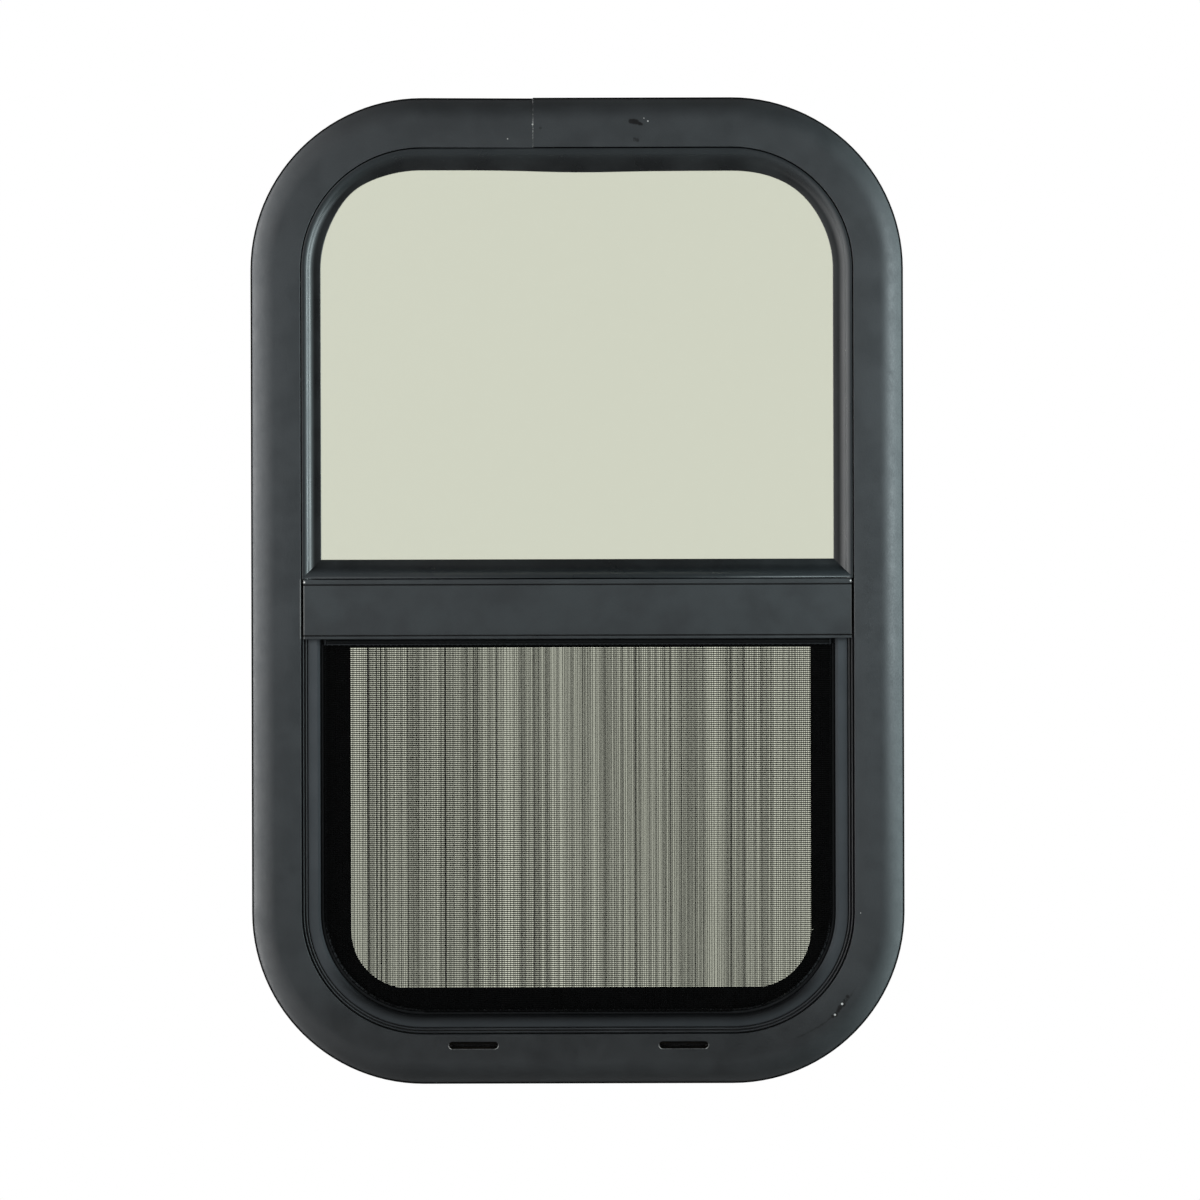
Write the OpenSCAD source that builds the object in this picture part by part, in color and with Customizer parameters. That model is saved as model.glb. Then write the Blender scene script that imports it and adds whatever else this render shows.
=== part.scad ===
// Vertical-slide caravan window with clamp ring. Outside faces -Y, up is +Z.
// The origin lies on the flange's wall face, in the middle of its bottom run.

/* [Frame] */
// Overall width of the frame over the flange
overall_w = 397.8; // [370:1:700]
// Overall height of the frame over the flange
overall_h = 601; // [560:1:900]
// Radius of the frame's outer corners
corner_r = 104.6; // [90:0.1:125]
// Width of the visible flange, from outer edge to lip
flange_w = 30.6; // [29:0.2:34]
// How far the flange stands off the wall
flange_proud = 11; // [10:0.5:13]
// Width of the flange's rounded outer part
roll_w = 15; // [12:0.5:18]
// Wall thickness of the frame extrusion
skin_t = 1.5; // [1.2:0.1:1.8]
// Flange cover over the edge of the wall's cut-out
wall_overlap = 21.1; // [19:0.1:22]
// Room between the cut-out and the sleeve
cutout_gap = 2; // [1.8:0.1:2.4]
// Depth of the glazing rebate below the flange face
rebate_depth = 12.5; // [12:0.5:14]
// Width of the glazing shelf, inwards from the lip
shelf_w = 8.5; // [7:0.5:9]
// Width of the track behind the shelf
track_w = 9; // [8.6:0.1:10]
// Width of the screw race behind the track
race_w = 4.4; // [4:0.1:5]
// Depth of the screw race
race_depth = 9; // [8:0.5:12]
// Width of the recess for sealant in the flange's wall face
sealant_w = 8; // [4:0.5:8]
// Depth of the sealant recess
sealant_depth = 0.6; // [0.3:0.1:0.8]
// Place of the butt seam from the middle of the top
seam_x = -26.5; // [-60:1:60]
// Open width of the butt seam
seam_gap = 0.2; // [0.1:0.1:0.5]

/* [Weep slots] */
// Distance between the two slots' centres
weep_spacing = 128; // [80:1:160]
// Length of one slot
weep_len = 30; // [15:1:40]
// Height of one slot
weep_h = 4.5; // [3:0.5:6]
// Slot's middle, in from the frame's bottom edge
weep_in = 22.3; // [20:0.1:24]

/* [Glazing] */
// Thickness of both panes
glass_t = 4; // [3:0.5:4]
// Thickness of the foam bedding under the fixed pane
tape_t = 1; // [0.8:0.1:1.5]
// Gap from lip to the fixed pane's edge
pane_gap = 1.2; // [1:0.1:2]
// Visible width of the glazing seal
seal_w = 12.1; // [10:0.1:13]
// Height of the seal's crest over the pane
seal_h = 6.6; // [5:0.2:7.4]
// Height of the seal's slope over the pane, beside the crest
seal_slope_h = 2.8; // [2:0.1:3.4]

/* [Meeting rail] */
// Top of the rail above the window's middle
rail_rise = 7; // [-20:1:20]
// Height of the rail
rail_h = 36.3; // [34:0.5:44]
// Set-back of the rail's face from the flange face
rail_set_back = 1; // [0.5:0.1:2]
// Height of the rail's upper lip
rail_top_lip = 2.9; // [2:0.1:4]
// Height of the rail's lower lip
rail_low_lip = 1.7; // [1:0.1:3]
// Width of the two grooves in the rail's face
rail_groove = 0.7; // [0.4:0.1:1]
// Depth of the rail's pocket for the screen
rail_pocket = 9.3; // [8:0.1:12]

/* [Insect screen] */
// Width of the ribbed gasket round the screen
gasket_w = 4.1; // [3.5:0.1:5]
// Width of the screen frame's flat face
screen_face_w = 5.9; // [5:0.1:7]
// Width of the spline groove
spline_groove_w = 2.8; // [2.8:0.1:4]
// Diameter of the spline
spline_d = 2.6; // [2.4:0.1:3.2]
// Thickness of the screen frame's rolled sheet
screen_sheet_t = 1; // [0.8:0.1:1.2]
// Set-back of the screen frame's face from the flange face
screen_set_back = 3.5; // [3:0.1:4.5]
// Depth of the screen's top bar that enters the rail
screen_entry = 7; // [5:0.1:7.5]
// Thickness of the mesh sheet
mesh_t = 0.4; // [0.3:0.1:0.6]

/* [Sliding pane] */
// Overlap of the sliding pane behind the meeting rail
sash_overlap = 30; // [26:1:40]
// Thickness of the run channel's base
run_t = 1.4; // [1:0.1:1.6]
// Length of the run channel's legs
run_leg = 9.4; // [8:0.1:10]
// Gap between a pane's face and the run channel's leg
sash_gap = 0.5; // [0.3:0.1:0.7]
// Wall of the sliding pane's top channel
top_channel_t = 1.1; // [1:0.1:1.2]
// Height of the sliding pane's top channel
top_channel_h = 13; // [10:1:16]
// Length of the pull rail
pull_len = 190; // [120:1:220]
// Height of the pull rail
pull_h = 14; // [12:0.5:15]
// Reach of the pull rail's finger lip
pull_reach = 11; // [8:0.5:12]
// Thickness of the pull rail's back plate
pull_plate_t = 2.6; // [2:0.1:3]
// Thickness of the pull rail's finger lip
pull_lip_t = 2.4; // [2:0.1:3]
// Reach of the finger edge on the sliding pane's top channel
finger_reach = 7; // [5:0.5:8]
// Height of that edge's upturned end
finger_lip_h = 5; // [3:0.5:6]
// Thickness of that edge
finger_t = 1.5; // [1:0.1:1.5]
// Height of the latches above the lower bends
latch_over_bend = 45.2; // [34:0.2:90]
// Height of one latch body
latch_h = 44; // [30:1:60]
// Width of one latch body
latch_w = 14; // [12:0.5:14]
// Depth of one latch body
latch_d = 11; // [9:0.5:12]
// Height of the window for the latch button
button_window_h = 20; // [16:0.5:26]
// Width of that window
button_window_w = 6.4; // [5:0.1:7]
// Height of the latch button
button_h = 14; // [10:0.5:15]
// How far the button's thumb ridge stands out
button_ridge = 3; // [2:0.5:4]
// Diameter of the latch bolts
bolt_d = 4; // [3:0.1:4]
// Width of the catch strips
catch_w = 5; // [4:0.5:6]
// Distance between the catch holes
catch_pitch = 38; // [25:1:60]
// Number of catch holes on each side
catch_count = 6; // [3:1:6]
// Length of a catch strip past its end holes
catch_margin = 14; // [8:1:20]

/* [Clamp ring] */
// Thickness of the caravan wall between flange and clamp ring
caravan_wall_t = 27; // [25:1:40]
// Thickness of the ring's sheet
ring_t = 1.8; // [1.5:0.1:2]
// Height of the ring's cover over the wall
ring_standoff = 3; // [2.5:0.1:4]
// Inset of the ring's outer edge from the frame's edge
ring_inset = 2; // [0:0.5:4]
// Width of the ring
ring_w = 35; // [33:1:38]
// Radius of the ring's rolled outer edge
ring_round = 4; // [3:0.1:4]
// Diameter of the ring's screw holes
ring_hole_d = 4.2; // [3.5:0.1:4.5]
// Distance between the ring's screws along a side
side_screw_pitch = 110; // [80:1:120]
// Distance between the two screws of a top or bottom run
end_screw_pitch = 120; // [80:1:140]

/* [Joint plates] */
// Length of the plate behind the frame's seam
frame_splice_len = 60; // [30:1:100]
// Thickness of both joint plates
splice_t = 1.5; // [1:0.1:1.8]
// Length of the plate under the clamp ring's seam
ring_splice_len = 40; // [20:1:80]
// Width of that plate
ring_splice_w = 11; // [8:0.5:13]

/* [Hidden] */
$fn = 96;

// Assembly clearance between pieces that only meet
fit_gap = 0.3;
// Clearance of a rubber piece in its curved seat
rubber_gap = 0.15;
// Clearance of a piece that is pushed into a channel
channel_gap = 0.1;
// Clearance of a bolt in its hole
bolt_gap = 0.4;
// Overlap of two walls of one section where they run into each other
weld = 0.01;
// Depth of the window for the latch button
button_window_d = 3;
// Extra length of a cutting shape past the faces it cuts
cut = 1;

// Heights: the bottom run's wall face has its middle at z = 0
bottom_z = -wall_overlap / 2;
mid_z = bottom_z + overall_h / 2;
rail_z1 = mid_z + rail_rise;
rail_z0 = rail_z1 - rail_h;
low_bend_z = bottom_z + corner_r;
high_bend_z = bottom_z + overall_h - corner_r;

// Frame section: u runs in from the outer edge, y runs from outside to inside
roll_r = (roll_w * roll_w + flange_proud * flange_proud) / (2 * flange_proud);
lip_u = flange_w;
sleeve_u0 = wall_overlap + cutout_gap;
sleeve_u1 = sleeve_u0 + skin_t;
shelf_u1 = lip_u + shelf_w;
shelf_y0 = rebate_depth - flange_proud;
shelf_y1 = shelf_y0 + skin_t;
track_y1 = shelf_y1 + track_w;
track_mid_y = shelf_y1 + track_w / 2;
sleeve_y1 = caravan_wall_t + ring_standoff;
race_floor_y1 = sleeve_y1 - race_depth;
race_floor_y0 = race_floor_y1 - skin_t;
race_u0 = sleeve_u1 + race_w;
race_mid_u = sleeve_u1 + race_w / 2;

// Fixed pane and seal
pane_u = lip_u + pane_gap;
pane_y1 = shelf_y0 - tape_t;
pane_y0 = pane_y1 - glass_t;
pane_z0 = rail_z1 + pane_gap;
seal_u0 = lip_u + rubber_gap;
seal_u1 = lip_u + seal_w + rubber_gap;
seal_crest_r = 2.6;
seal_toe_t = 0.7;
mitre_gap = 0.1;

// Screen section
screen_u0 = lip_u + gasket_w;
groove_u0 = screen_u0 + screen_face_w + screen_sheet_t;
groove_u1 = groove_u0 + spline_groove_w;
screen_u1 = groove_u1 + screen_sheet_t + 0.2;
screen_y0 = -flange_proud + screen_set_back;
screen_y1 = shelf_y0 - fit_gap;
screen_leg_y = screen_y0 + 2.4;
groove_floor_y = screen_leg_y + spline_d;
screen_top_z = rail_z0 + screen_entry;

// Sliding pane
sash_y0 = track_mid_y - glass_t / 2;
sash_y1 = track_mid_y + glass_t / 2;
sash_u = sleeve_u1 + run_t + 1;
sash_top_z = rail_z0 + sash_overlap;
run_u1 = sleeve_u1 + run_leg;
pull_u = shelf_u1 + 3.3;
latch_u = shelf_u1 + 2.3;
latch_z = low_bend_z + latch_over_bend;
catch_y = (track_y1 + skin_t + race_floor_y0) / 2;
catch_mid_u = sleeve_u1 + channel_gap + catch_w / 2;

// Clamp ring
ring_u0 = ring_inset;
ring_u1 = ring_inset + ring_w;
ring_y1 = sleeve_y1 + ring_t;

// A straight stretch of a section up the left (-1) or right (1) side
module side_sweep(side, z0, z1) {
  translate([side * overall_w / 2, 0, z0])
    mirror([side > 0 ? 1 : 0, 0, 0])
      linear_extrude(z1 - z0) children();
}

// A straight stretch of a section along the bottom (-1) or top (1) run
module end_sweep(end, x0, x1) {
  if (end < 0)
    translate([x1, 0, bottom_z]) rotate([0, -90, 0]) linear_extrude(x1 - x0) children();
  else
    translate([x0, 0, bottom_z + overall_h]) rotate([0, 90, 0]) linear_extrude(x1 - x0) children();
}

// A quarter bend of a section round one corner of the frame
module corner_sweep(side, end) {
  turn = end < 0 ? (side > 0 ? 0 : 90) : (side > 0 ? -90 : 180);
  translate([side * (overall_w / 2 - corner_r), 0, mid_z + end * (overall_h / 2 - corner_r)])
    rotate([0, turn, 0])
      rotate([-90, 0, 0])
        rotate_extrude(angle = 90)
          translate([corner_r, 0]) mirror([1, 0]) children();
}

// A section carried right round the frame, with an open seam at seam_at on one end
module full_loop(seam_end, seam_at, gap) {
  bend_x = overall_w / 2 - corner_r;
  for (side = [-1, 1]) {
    side_sweep(side, low_bend_z, high_bend_z) children();
    for (end = [-1, 1])
      corner_sweep(side, end) children();
  }
  end_sweep(-seam_end, -bend_x, bend_x) children();
  end_sweep(seam_end, -bend_x, seam_at - gap / 2) children();
  end_sweep(seam_end, seam_at + gap / 2, bend_x) children();
}

// A section carried down both sides from z_top and round the bottom
module lower_loop(z_top) {
  bend_x = overall_w / 2 - corner_r;
  for (side = [-1, 1]) {
    side_sweep(side, low_bend_z, z_top) children();
    corner_sweep(side, -1) children();
  }
  end_sweep(-1, -bend_x, bend_x) children();
}

// A section carried up both sides from z_low and over the top
module upper_loop(z_low) {
  bend_x = overall_w / 2 - corner_r;
  for (side = [-1, 1]) {
    side_sweep(side, z_low, high_bend_z) children();
    corner_sweep(side, 1) children();
  }
  end_sweep(1, -bend_x, bend_x) children();
}

// A flat plate with straight sides at inset u and two round corners, up (1) or down (-1)
module pane_outline(u, z0, z1, end) {
  half_w = overall_w / 2 - u;
  r = corner_r - u;
  bend_z = end > 0 ? z1 - r : z0 + r;
  translate([-half_w, end > 0 ? z0 : bend_z]) square([2 * half_w, end > 0 ? bend_z - z0 : z1 - bend_z]);
  translate([-half_w + r, z0]) square([2 * (half_w - r), z1 - z0]);
  for (side = [-1, 1])
    translate([side * (half_w - r), bend_z]) circle(r);
}

// A flat outline in x and z, thickened from y0 to y1
module upright_plate(y0, y1) {
  translate([0, y1, 0]) rotate([90, 0, 0]) linear_extrude(y1 - y0) children();
}

// Flange outline: rolled outer part and flat face, pulled in by inset
module flange_outline(inset) {
  intersection() {
    translate([roll_w, roll_r - flange_proud]) circle(roll_r - inset, $fn = 180);
    translate([-cut, -flange_proud]) square([roll_w + cut, flange_proud]);
  }
  translate([roll_w - weld, -flange_proud + inset]) square([lip_u - roll_w + weld - inset, flange_proud - inset]);
}

module frame_section() {
  difference() {
    union() {
      flange_outline(0);
      translate([sleeve_u0, -skin_t]) square([lip_u - sleeve_u0, shelf_y0 + skin_t + skin_t]);
    }
    intersection() {
      flange_outline(skin_t);
      translate([0, -flange_proud]) square([lip_u, flange_proud - skin_t]);
    }
    translate([sleeve_u1, -2 * skin_t]) square([lip_u - skin_t - sleeve_u1, shelf_y0 + 2 * skin_t]);
    // Recess for sealant beside the sleeve
    translate([sleeve_u0 - sealant_w, -sealant_depth]) square([sealant_w, sealant_depth + cut]);
  }
  // Sleeve through the wall
  translate([sleeve_u0, 0]) square([skin_t, sleeve_y1]);
  // Glazing shelf
  translate([sleeve_u0, shelf_y0]) square([shelf_u1 - sleeve_u0, skin_t]);
  // Inner wall of the track
  translate([sleeve_u0, track_y1]) square([shelf_u1 - sleeve_u0, skin_t]);
  // Screw race
  translate([sleeve_u0, race_floor_y0]) square([race_u0 + skin_t - sleeve_u0, skin_t]);
  translate([race_u0, race_floor_y0]) square([skin_t, sleeve_y1 - race_floor_y0]);
}

module slot_outline(len, h) {
  square([len - h, h], center = true);
  for (side = [-1, 1])
    translate([side * (len - h) / 2, 0]) circle(h / 2);
}

module outer_frame() {
  color("#3f4447")
    difference() {
      full_loop(1, seam_x, seam_gap) frame_section();
      for (side = [-1, 1])
        translate([side * weep_spacing / 2, 0, bottom_z + weep_in])
          upright_plate(-flange_proud - cut, -flange_proud + skin_t + cut) slot_outline(weep_len, weep_h);
    }
}

// Joint plate over the seam, on the wall side of the sleeve
module frame_splice() {
  y0 = 2;
  y1 = caravan_wall_t - 3;
  color("#8f9396")
    end_sweep(1, seam_x - frame_splice_len / 2, seam_x + frame_splice_len / 2)
      translate([sleeve_u0 - splice_t, y0]) square([splice_t, y1 - y0]);
}

module upper_glass() {
  color("#cfd2c1", 0.35)
    upright_plate(pane_y0, pane_y1) pane_outline(pane_u, pane_z0, bottom_z + overall_h - pane_u, 1);
}

// Foam bedding between the fixed pane and its shelf, open along the rail
module upper_glass_tape() {
  color("#1b1b1b")
    upper_loop(rail_z1 + fit_gap)
      translate([pane_u, pane_y1]) square([shelf_u1 - pane_u - 1, tape_t]);
}

// Seal section: foot beside the pane, round crest, slope down to a thin toe
module seal_section() {
  crest_y = pane_y0 - seal_h + seal_crest_r;
  crest_u = seal_u0 + seal_crest_r;
  toe_y = pane_y0 - seal_toe_t;
  shoulder_u = crest_u + seal_crest_r;
  translate([crest_u, crest_y]) circle(seal_crest_r);
  polygon([[seal_u0, crest_y], [shoulder_u, crest_y], [shoulder_u, pane_y0 - seal_slope_h],
           [seal_u1, toe_y], [seal_u1, pane_y0], [seal_u0, pane_y0]]);
  translate([seal_u0, pane_y0 - weld]) square([pane_gap - 2 * rubber_gap, glass_t]);
}

// Outline in x and z of the bottom run with its mitred ends, grown by gap
module mitre_outline(gap) {
  half_w = overall_w / 2 - lip_u;
  low = rail_z1 - cut;
  high = rail_z1 + seal_w + fit_gap + gap;
  polygon([[-half_w - cut - gap, low], [half_w + cut + gap, low],
           [half_w - seal_w - fit_gap, high], [-half_w + seal_w + fit_gap, high]]);
}

module upper_seal() {
  color("#202224")
    difference() {
      upper_loop(rail_z1 + fit_gap) seal_section();
      upright_plate(-flange_proud - cut, shelf_y0 + cut) mitre_outline(mitre_gap);
    }
}

module upper_seal_bottom() {
  half_w = overall_w / 2 - lip_u - rubber_gap;
  color("#1a1b1c")
    intersection() {
      translate([half_w, 0, rail_z1 + fit_gap - seal_u0])
        rotate([0, -90, 0])
          linear_extrude(2 * half_w) seal_section();
      upright_plate(-flange_proud - cut, shelf_y0 + cut) mitre_outline(0);
    }
}

// Rail section in y and z: face with two lips, hollow box, pocket for the screen below
module rail_section() {
  face_y = -flange_proud + rail_set_back;
  floor_z = rail_z0 + rail_pocket;
  groove_depth = 0.8;
  difference() {
    union() {
      translate([face_y, floor_z]) square([shelf_y1 - face_y, rail_z1 - floor_z]);
      translate([face_y, rail_z0]) square([skin_t, rail_h]);
      translate([shelf_y0, rail_z0]) square([skin_t, rail_h + shelf_w]);
    }
    translate([face_y + skin_t, floor_z + skin_t])
      square([shelf_y0 - face_y - skin_t, rail_z1 - floor_z - 2 * skin_t]);
    for (z = [rail_z1 - rail_top_lip - rail_groove, rail_z0 + rail_low_lip])
      translate([face_y - cut, z]) square([cut + groove_depth, rail_groove]);
  }
}

// The rail's rear upright stops short of the frame's shelf at both ends
module meeting_rail() {
  half_w = overall_w / 2 - lip_u - fit_gap;
  notch_w = shelf_w;
  notch_y0 = shelf_y0 - fit_gap;
  color("#3c4144")
    difference() {
      translate([-half_w, 0, 0])
        rotate([90, 0, 90])
          linear_extrude(2 * half_w) rail_section();
      for (x = [-half_w - cut, half_w - notch_w])
        translate([x, notch_y0, rail_z0 - cut])
          cube([notch_w + cut, shelf_y1 - notch_y0 + cut, rail_h + shelf_w + 2 * cut]);
    }
}

// Brush seal in the rail's rear face
module rail_pile() {
  half_w = overall_w / 2 - run_u1 - fit_gap;
  pile_h = 6;
  color("#2a2a2a")
    translate([-half_w, shelf_y1, rail_z0 + pile_h])
      cube([2 * half_w, sash_y0 - shelf_y1 - rubber_gap, pile_h]);
}

// Ribbed gasket between lip and screen frame
module gasket_section() {
  u0 = lip_u + rubber_gap;
  w = gasket_w - 2 * rubber_gap;
  rib_r = w / 6;
  rib_y = screen_y0 - 0.6;
  translate([u0, rib_y + rib_r]) square([w, screen_y1 - rib_y - rib_r]);
  for (k = [0 : 2])
    translate([u0 + rib_r + k * 2 * rib_r, rib_y + rib_r]) circle(rib_r * 0.96, $fn = 24);
}

module screen_gasket() {
  color("#232527")
    lower_loop(rail_z0 + screen_entry) gasket_section();
}

// Rolled screen frame: closed tube, sloped shoulder, spline groove, inner leg
module screen_section() {
  difference() {
    translate([screen_u0, screen_y0]) square([screen_face_w, screen_y1 - screen_y0]);
    translate([screen_u0 + screen_sheet_t, screen_y0 + screen_sheet_t])
      square([screen_face_w - 2 * screen_sheet_t, screen_y1 - screen_y0 - 2 * screen_sheet_t]);
  }
  slope_u0 = screen_u0 + screen_face_w - weld;
  polygon([[slope_u0, screen_y0], [groove_u0, screen_leg_y],
           [groove_u0, groove_floor_y + screen_sheet_t], [slope_u0, groove_floor_y + screen_sheet_t]]);
  translate([groove_u0 - weld, groove_floor_y]) square([screen_u1 - groove_u0 + weld, screen_sheet_t]);
  translate([groove_u1, screen_leg_y]) square([screen_u1 - groove_u1, groove_floor_y + screen_sheet_t - screen_leg_y]);
}

module screen_frame() {
  color("#42474a")
    lower_loop(screen_top_z) screen_section();
}

// The same section, straight, with its outer edge inside the rail's pocket
module screen_top_bar() {
  half_w = overall_w / 2 - screen_u1 - fit_gap;
  color("#2c2f31")
    translate([-half_w, 0, screen_top_z + screen_u0])
      rotate([0, 90, 0])
        linear_extrude(2 * half_w) screen_section();
}

module spline_section() {
  translate([(groove_u0 + groove_u1) / 2, groove_floor_y - spline_d / 2]) circle(spline_d / 2, $fn = 32);
}

module screen_spline() {
  half_w = overall_w / 2 - screen_u1 - fit_gap;
  side_top_z = screen_top_z + screen_u0 - groove_u1 - fit_gap;
  color("#161616") {
    lower_loop(side_top_z) spline_section();
    translate([-half_w, 0, screen_top_z + screen_u0])
      rotate([0, 90, 0])
        linear_extrude(2 * half_w) spline_section();
  }
}

module screen_mesh() {
  edge_u = groove_u1 + channel_gap;
  top_z = screen_top_z + screen_u0 - edge_u;
  color("#4a4a48", 0.5)
    upright_plate(screen_leg_y - mesh_t, screen_leg_y)
      pane_outline(edge_u, bottom_z + edge_u, top_z, -1);
}

// Plastic shield inside each weep slot, with one level vane
module weep_baffles() {
  plate_t = 1;
  rim = 1;
  vane_h = 1.3;
  plate_y0 = -flange_proud + skin_t + channel_gap / 2;
  vane_y0 = plate_y0 + plate_t - weld;
  color("#2b2a26")
    for (side = [-1, 1])
      translate([side * weep_spacing / 2, 0, bottom_z + weep_in]) {
        upright_plate(plate_y0, plate_y0 + plate_t)
          difference() {
            square([weep_len + 4 * rim, weep_h + 2 * rim], center = true);
            slot_outline(weep_len, weep_h);
          }
        upright_plate(vane_y0, vane_y0 + plate_t)
          square([weep_len + 2 * rim, vane_h], center = true);
        for (end = [-1, 1])
          translate([end * (weep_len / 2 + rim), 0, 0])
            upright_plate(vane_y0, vane_y0 + plate_t)
              square([2 * rim, weep_h], center = true);
      }
}

module sash_glass() {
  color("#cfd2c1", 0.35)
    upright_plate(sash_y0, sash_y1) pane_outline(sash_u, bottom_z + sash_u, sash_top_z, -1);
}

// Channel over the sliding pane's top edge, with a turned-out finger edge
module sash_top_rail() {
  half_w = overall_w / 2 - run_u1 - 1;
  y0 = sash_y0 - top_channel_t;
  y1 = sash_y1 + top_channel_t;
  color("#2e3133")
    translate([-half_w, 0, sash_top_z])
      rotate([90, 0, 90])
        linear_extrude(2 * half_w)
          union() {
            difference() {
              translate([y0, -top_channel_h]) square([y1 - y0, top_channel_h + finger_t]);
              translate([sash_y0, -top_channel_h - cut]) square([glass_t, top_channel_h + cut]);
            }
            translate([y1 - weld, -top_channel_h]) square([finger_reach, finger_t]);
            translate([y1 - weld + finger_reach - finger_t, -top_channel_h]) square([finger_t, finger_lip_h]);
          }
}

// Bar bonded along the sliding pane's lower edge, with a finger lip turned down at its end
module sash_pull_rail() {
  turned_h = 1.8;
  lip_y0 = sash_y1 + pull_plate_t - weld;
  color("#1d1f20")
    translate([-pull_len / 2, 0, bottom_z + pull_u])
      rotate([90, 0, 90])
        linear_extrude(pull_len)
          union() {
            translate([sash_y1, 0]) square([pull_plate_t, pull_h]);
            translate([lip_y0, pull_h - pull_lip_t]) square([pull_reach, pull_lip_t]);
            translate([lip_y0 + pull_reach - pull_lip_t, pull_h - pull_lip_t - turned_h])
              square([pull_lip_t, pull_lip_t + turned_h]);
          }
}

// Places a piece at the left and at the right latch
module at_latches() {
  for (side = [-1, 1])
    translate([side * (overall_w / 2 - latch_u), sash_y1, latch_z])
      mirror([side > 0 ? 1 : 0, 0, 0]) children();
}

module sash_latches() {
  round_r = 3;
  color("#1b1d1e")
    at_latches()
      difference() {
        translate([0, 0, -latch_h / 2])
          linear_extrude(latch_h) {
            square([latch_w, latch_d - round_r]);
            translate([round_r, 0]) square([latch_w - 2 * round_r, latch_d]);
            for (x = [round_r, latch_w - round_r])
              translate([x, latch_d - round_r]) circle(round_r, $fn = 32);
          }
        // Window for the button
        translate([(latch_w - button_window_w) / 2, latch_d - button_window_d, -button_window_h / 2])
          cube([button_window_w, button_window_d + cut, button_window_h]);
        // Bore for the bolt
        translate([-cut, catch_y - sash_y1, 0])
          rotate([0, 90, 0]) cylinder(d = bolt_d + bolt_gap, h = latch_w / 2 + cut);
      }
}

// Buttons low in their windows, each with a thumb ridge at its outer edge
module latch_buttons() {
  button_w = button_window_w - 2 * fit_gap;
  ridge_w = 2;
  x0 = (latch_w - button_w) / 2;
  z0 = -button_window_h / 2 + fit_gap;
  color("#2a2c2e")
    at_latches() {
      translate([x0, latch_d - button_window_d + channel_gap, z0])
        cube([button_w, button_window_d - 2 * fit_gap, button_h]);
      translate([x0, latch_d - 2 * fit_gap, z0 + button_h / 4])
        cube([ridge_w, button_ridge + 2 * fit_gap, button_h / 2]);
    }
}

// Spring bolts that reach into the catch strips
module latch_bolts() {
  reach = latch_u - sleeve_u1 - catch_w * 0.64;
  color("#a9acae")
    at_latches()
      translate([-reach, catch_y - sash_y1, 0])
        rotate([0, 90, 0]) cylinder(d = bolt_d, h = reach + latch_w / 2 - fit_gap);
}

// Strip with a row of catch holes, in the frame behind each track
module catch_strips() {
  length = (catch_count - 1) * catch_pitch + 2 * catch_margin;
  strip_t = race_floor_y0 - track_y1 - skin_t - 2 * channel_gap;
  color("#26282a")
    for (side = [-1, 1])
      difference() {
        translate([side * (overall_w / 2 - catch_mid_u), catch_y, latch_z - catch_margin + length / 2])
          cube([catch_w, strip_t, length], center = true);
        for (k = [0 : catch_count - 1])
          translate([side * (overall_w / 2 - catch_mid_u), catch_y, latch_z + k * catch_pitch])
            rotate([0, 90, 0]) cylinder(d = bolt_d + bolt_gap, h = catch_w + 2 * cut, center = true);
      }
}

// Flocked channel section that guides the sliding pane
module run_section() {
  difference() {
    translate([sleeve_u1 + rubber_gap, shelf_y1 + channel_gap])
      square([run_leg - rubber_gap, track_w - 2 * channel_gap]);
    translate([sleeve_u1 + run_t, sash_y0 - sash_gap]) square([run_leg, glass_t + 2 * sash_gap]);
  }
}

module run_channels() {
  color("#202020")
    for (side = [-1, 1])
      side_sweep(side, low_bend_z + fit_gap, high_bend_z) run_section();
}

module bottom_seal() {
  bend_x = overall_w / 2 - corner_r;
  color("#1c1c1c") {
    for (side = [-1, 1])
      corner_sweep(side, -1) run_section();
    end_sweep(-1, -bend_x, bend_x) run_section();
  }
}

// Rolled cover with a bearing rib on the wall and an inner drop edge
module ring_outline(inset) {
  y0 = caravan_wall_t;
  translate([ring_u0 + inset, y0 - cut * inset]) square([ring_round, ring_y1 - ring_round - y0 + cut * inset]);
  translate([ring_u0 + ring_round, y0 - cut * inset]) square([ring_w - ring_round - inset, ring_y1 - inset - y0 + cut * inset]);
  intersection() {
    translate([ring_u0 + ring_round, ring_y1 - ring_round]) circle(ring_round - inset);
    translate([ring_u0, y0]) square([ring_w, ring_y1 - y0]);
  }
}

module ring_section() {
  rib_t = 1.5;
  difference() {
    ring_outline(0);
    ring_outline(ring_t);
  }
  translate([wall_overlap - rib_t - fit_gap, caravan_wall_t]) square([rib_t, ring_standoff + weld]);
}

// Places a drill or screw at each of the ring's fixings, pointing inwards
module at_ring_screws() {
  for (side = [-1, 1]) {
    for (k = [-1.5 : 1 : 1.5])
      translate([side * (overall_w / 2 - race_mid_u), 0, mid_z + k * side_screw_pitch]) children();
    for (end = [-1, 1]) {
      translate([side * end_screw_pitch / 2, 0, mid_z + end * (overall_h / 2 - race_mid_u)]) children();
      translate([side * (overall_w / 2 - corner_r + (corner_r - race_mid_u) * cos(45)), 0,
                 mid_z + end * (overall_h / 2 - corner_r + (corner_r - race_mid_u) * sin(45))]) children();
    }
  }
}

module clamp_ring() {
  color("#34383a")
    difference() {
      full_loop(-1, 0, seam_gap) ring_section();
      at_ring_screws()
        translate([0, ring_y1 + cut, 0]) rotate([90, 0, 0]) cylinder(d = ring_hole_d, h = ring_t + 2 * cut);
    }
}

// Joint plate under the ring's seam
module clamp_ring_splice() {
  color("#8f9396")
    end_sweep(-1, -ring_splice_len / 2, ring_splice_len / 2)
      translate([ring_u0 + ring_round, sleeve_y1 - splice_t]) square([ring_splice_w, splice_t]);
}

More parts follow.
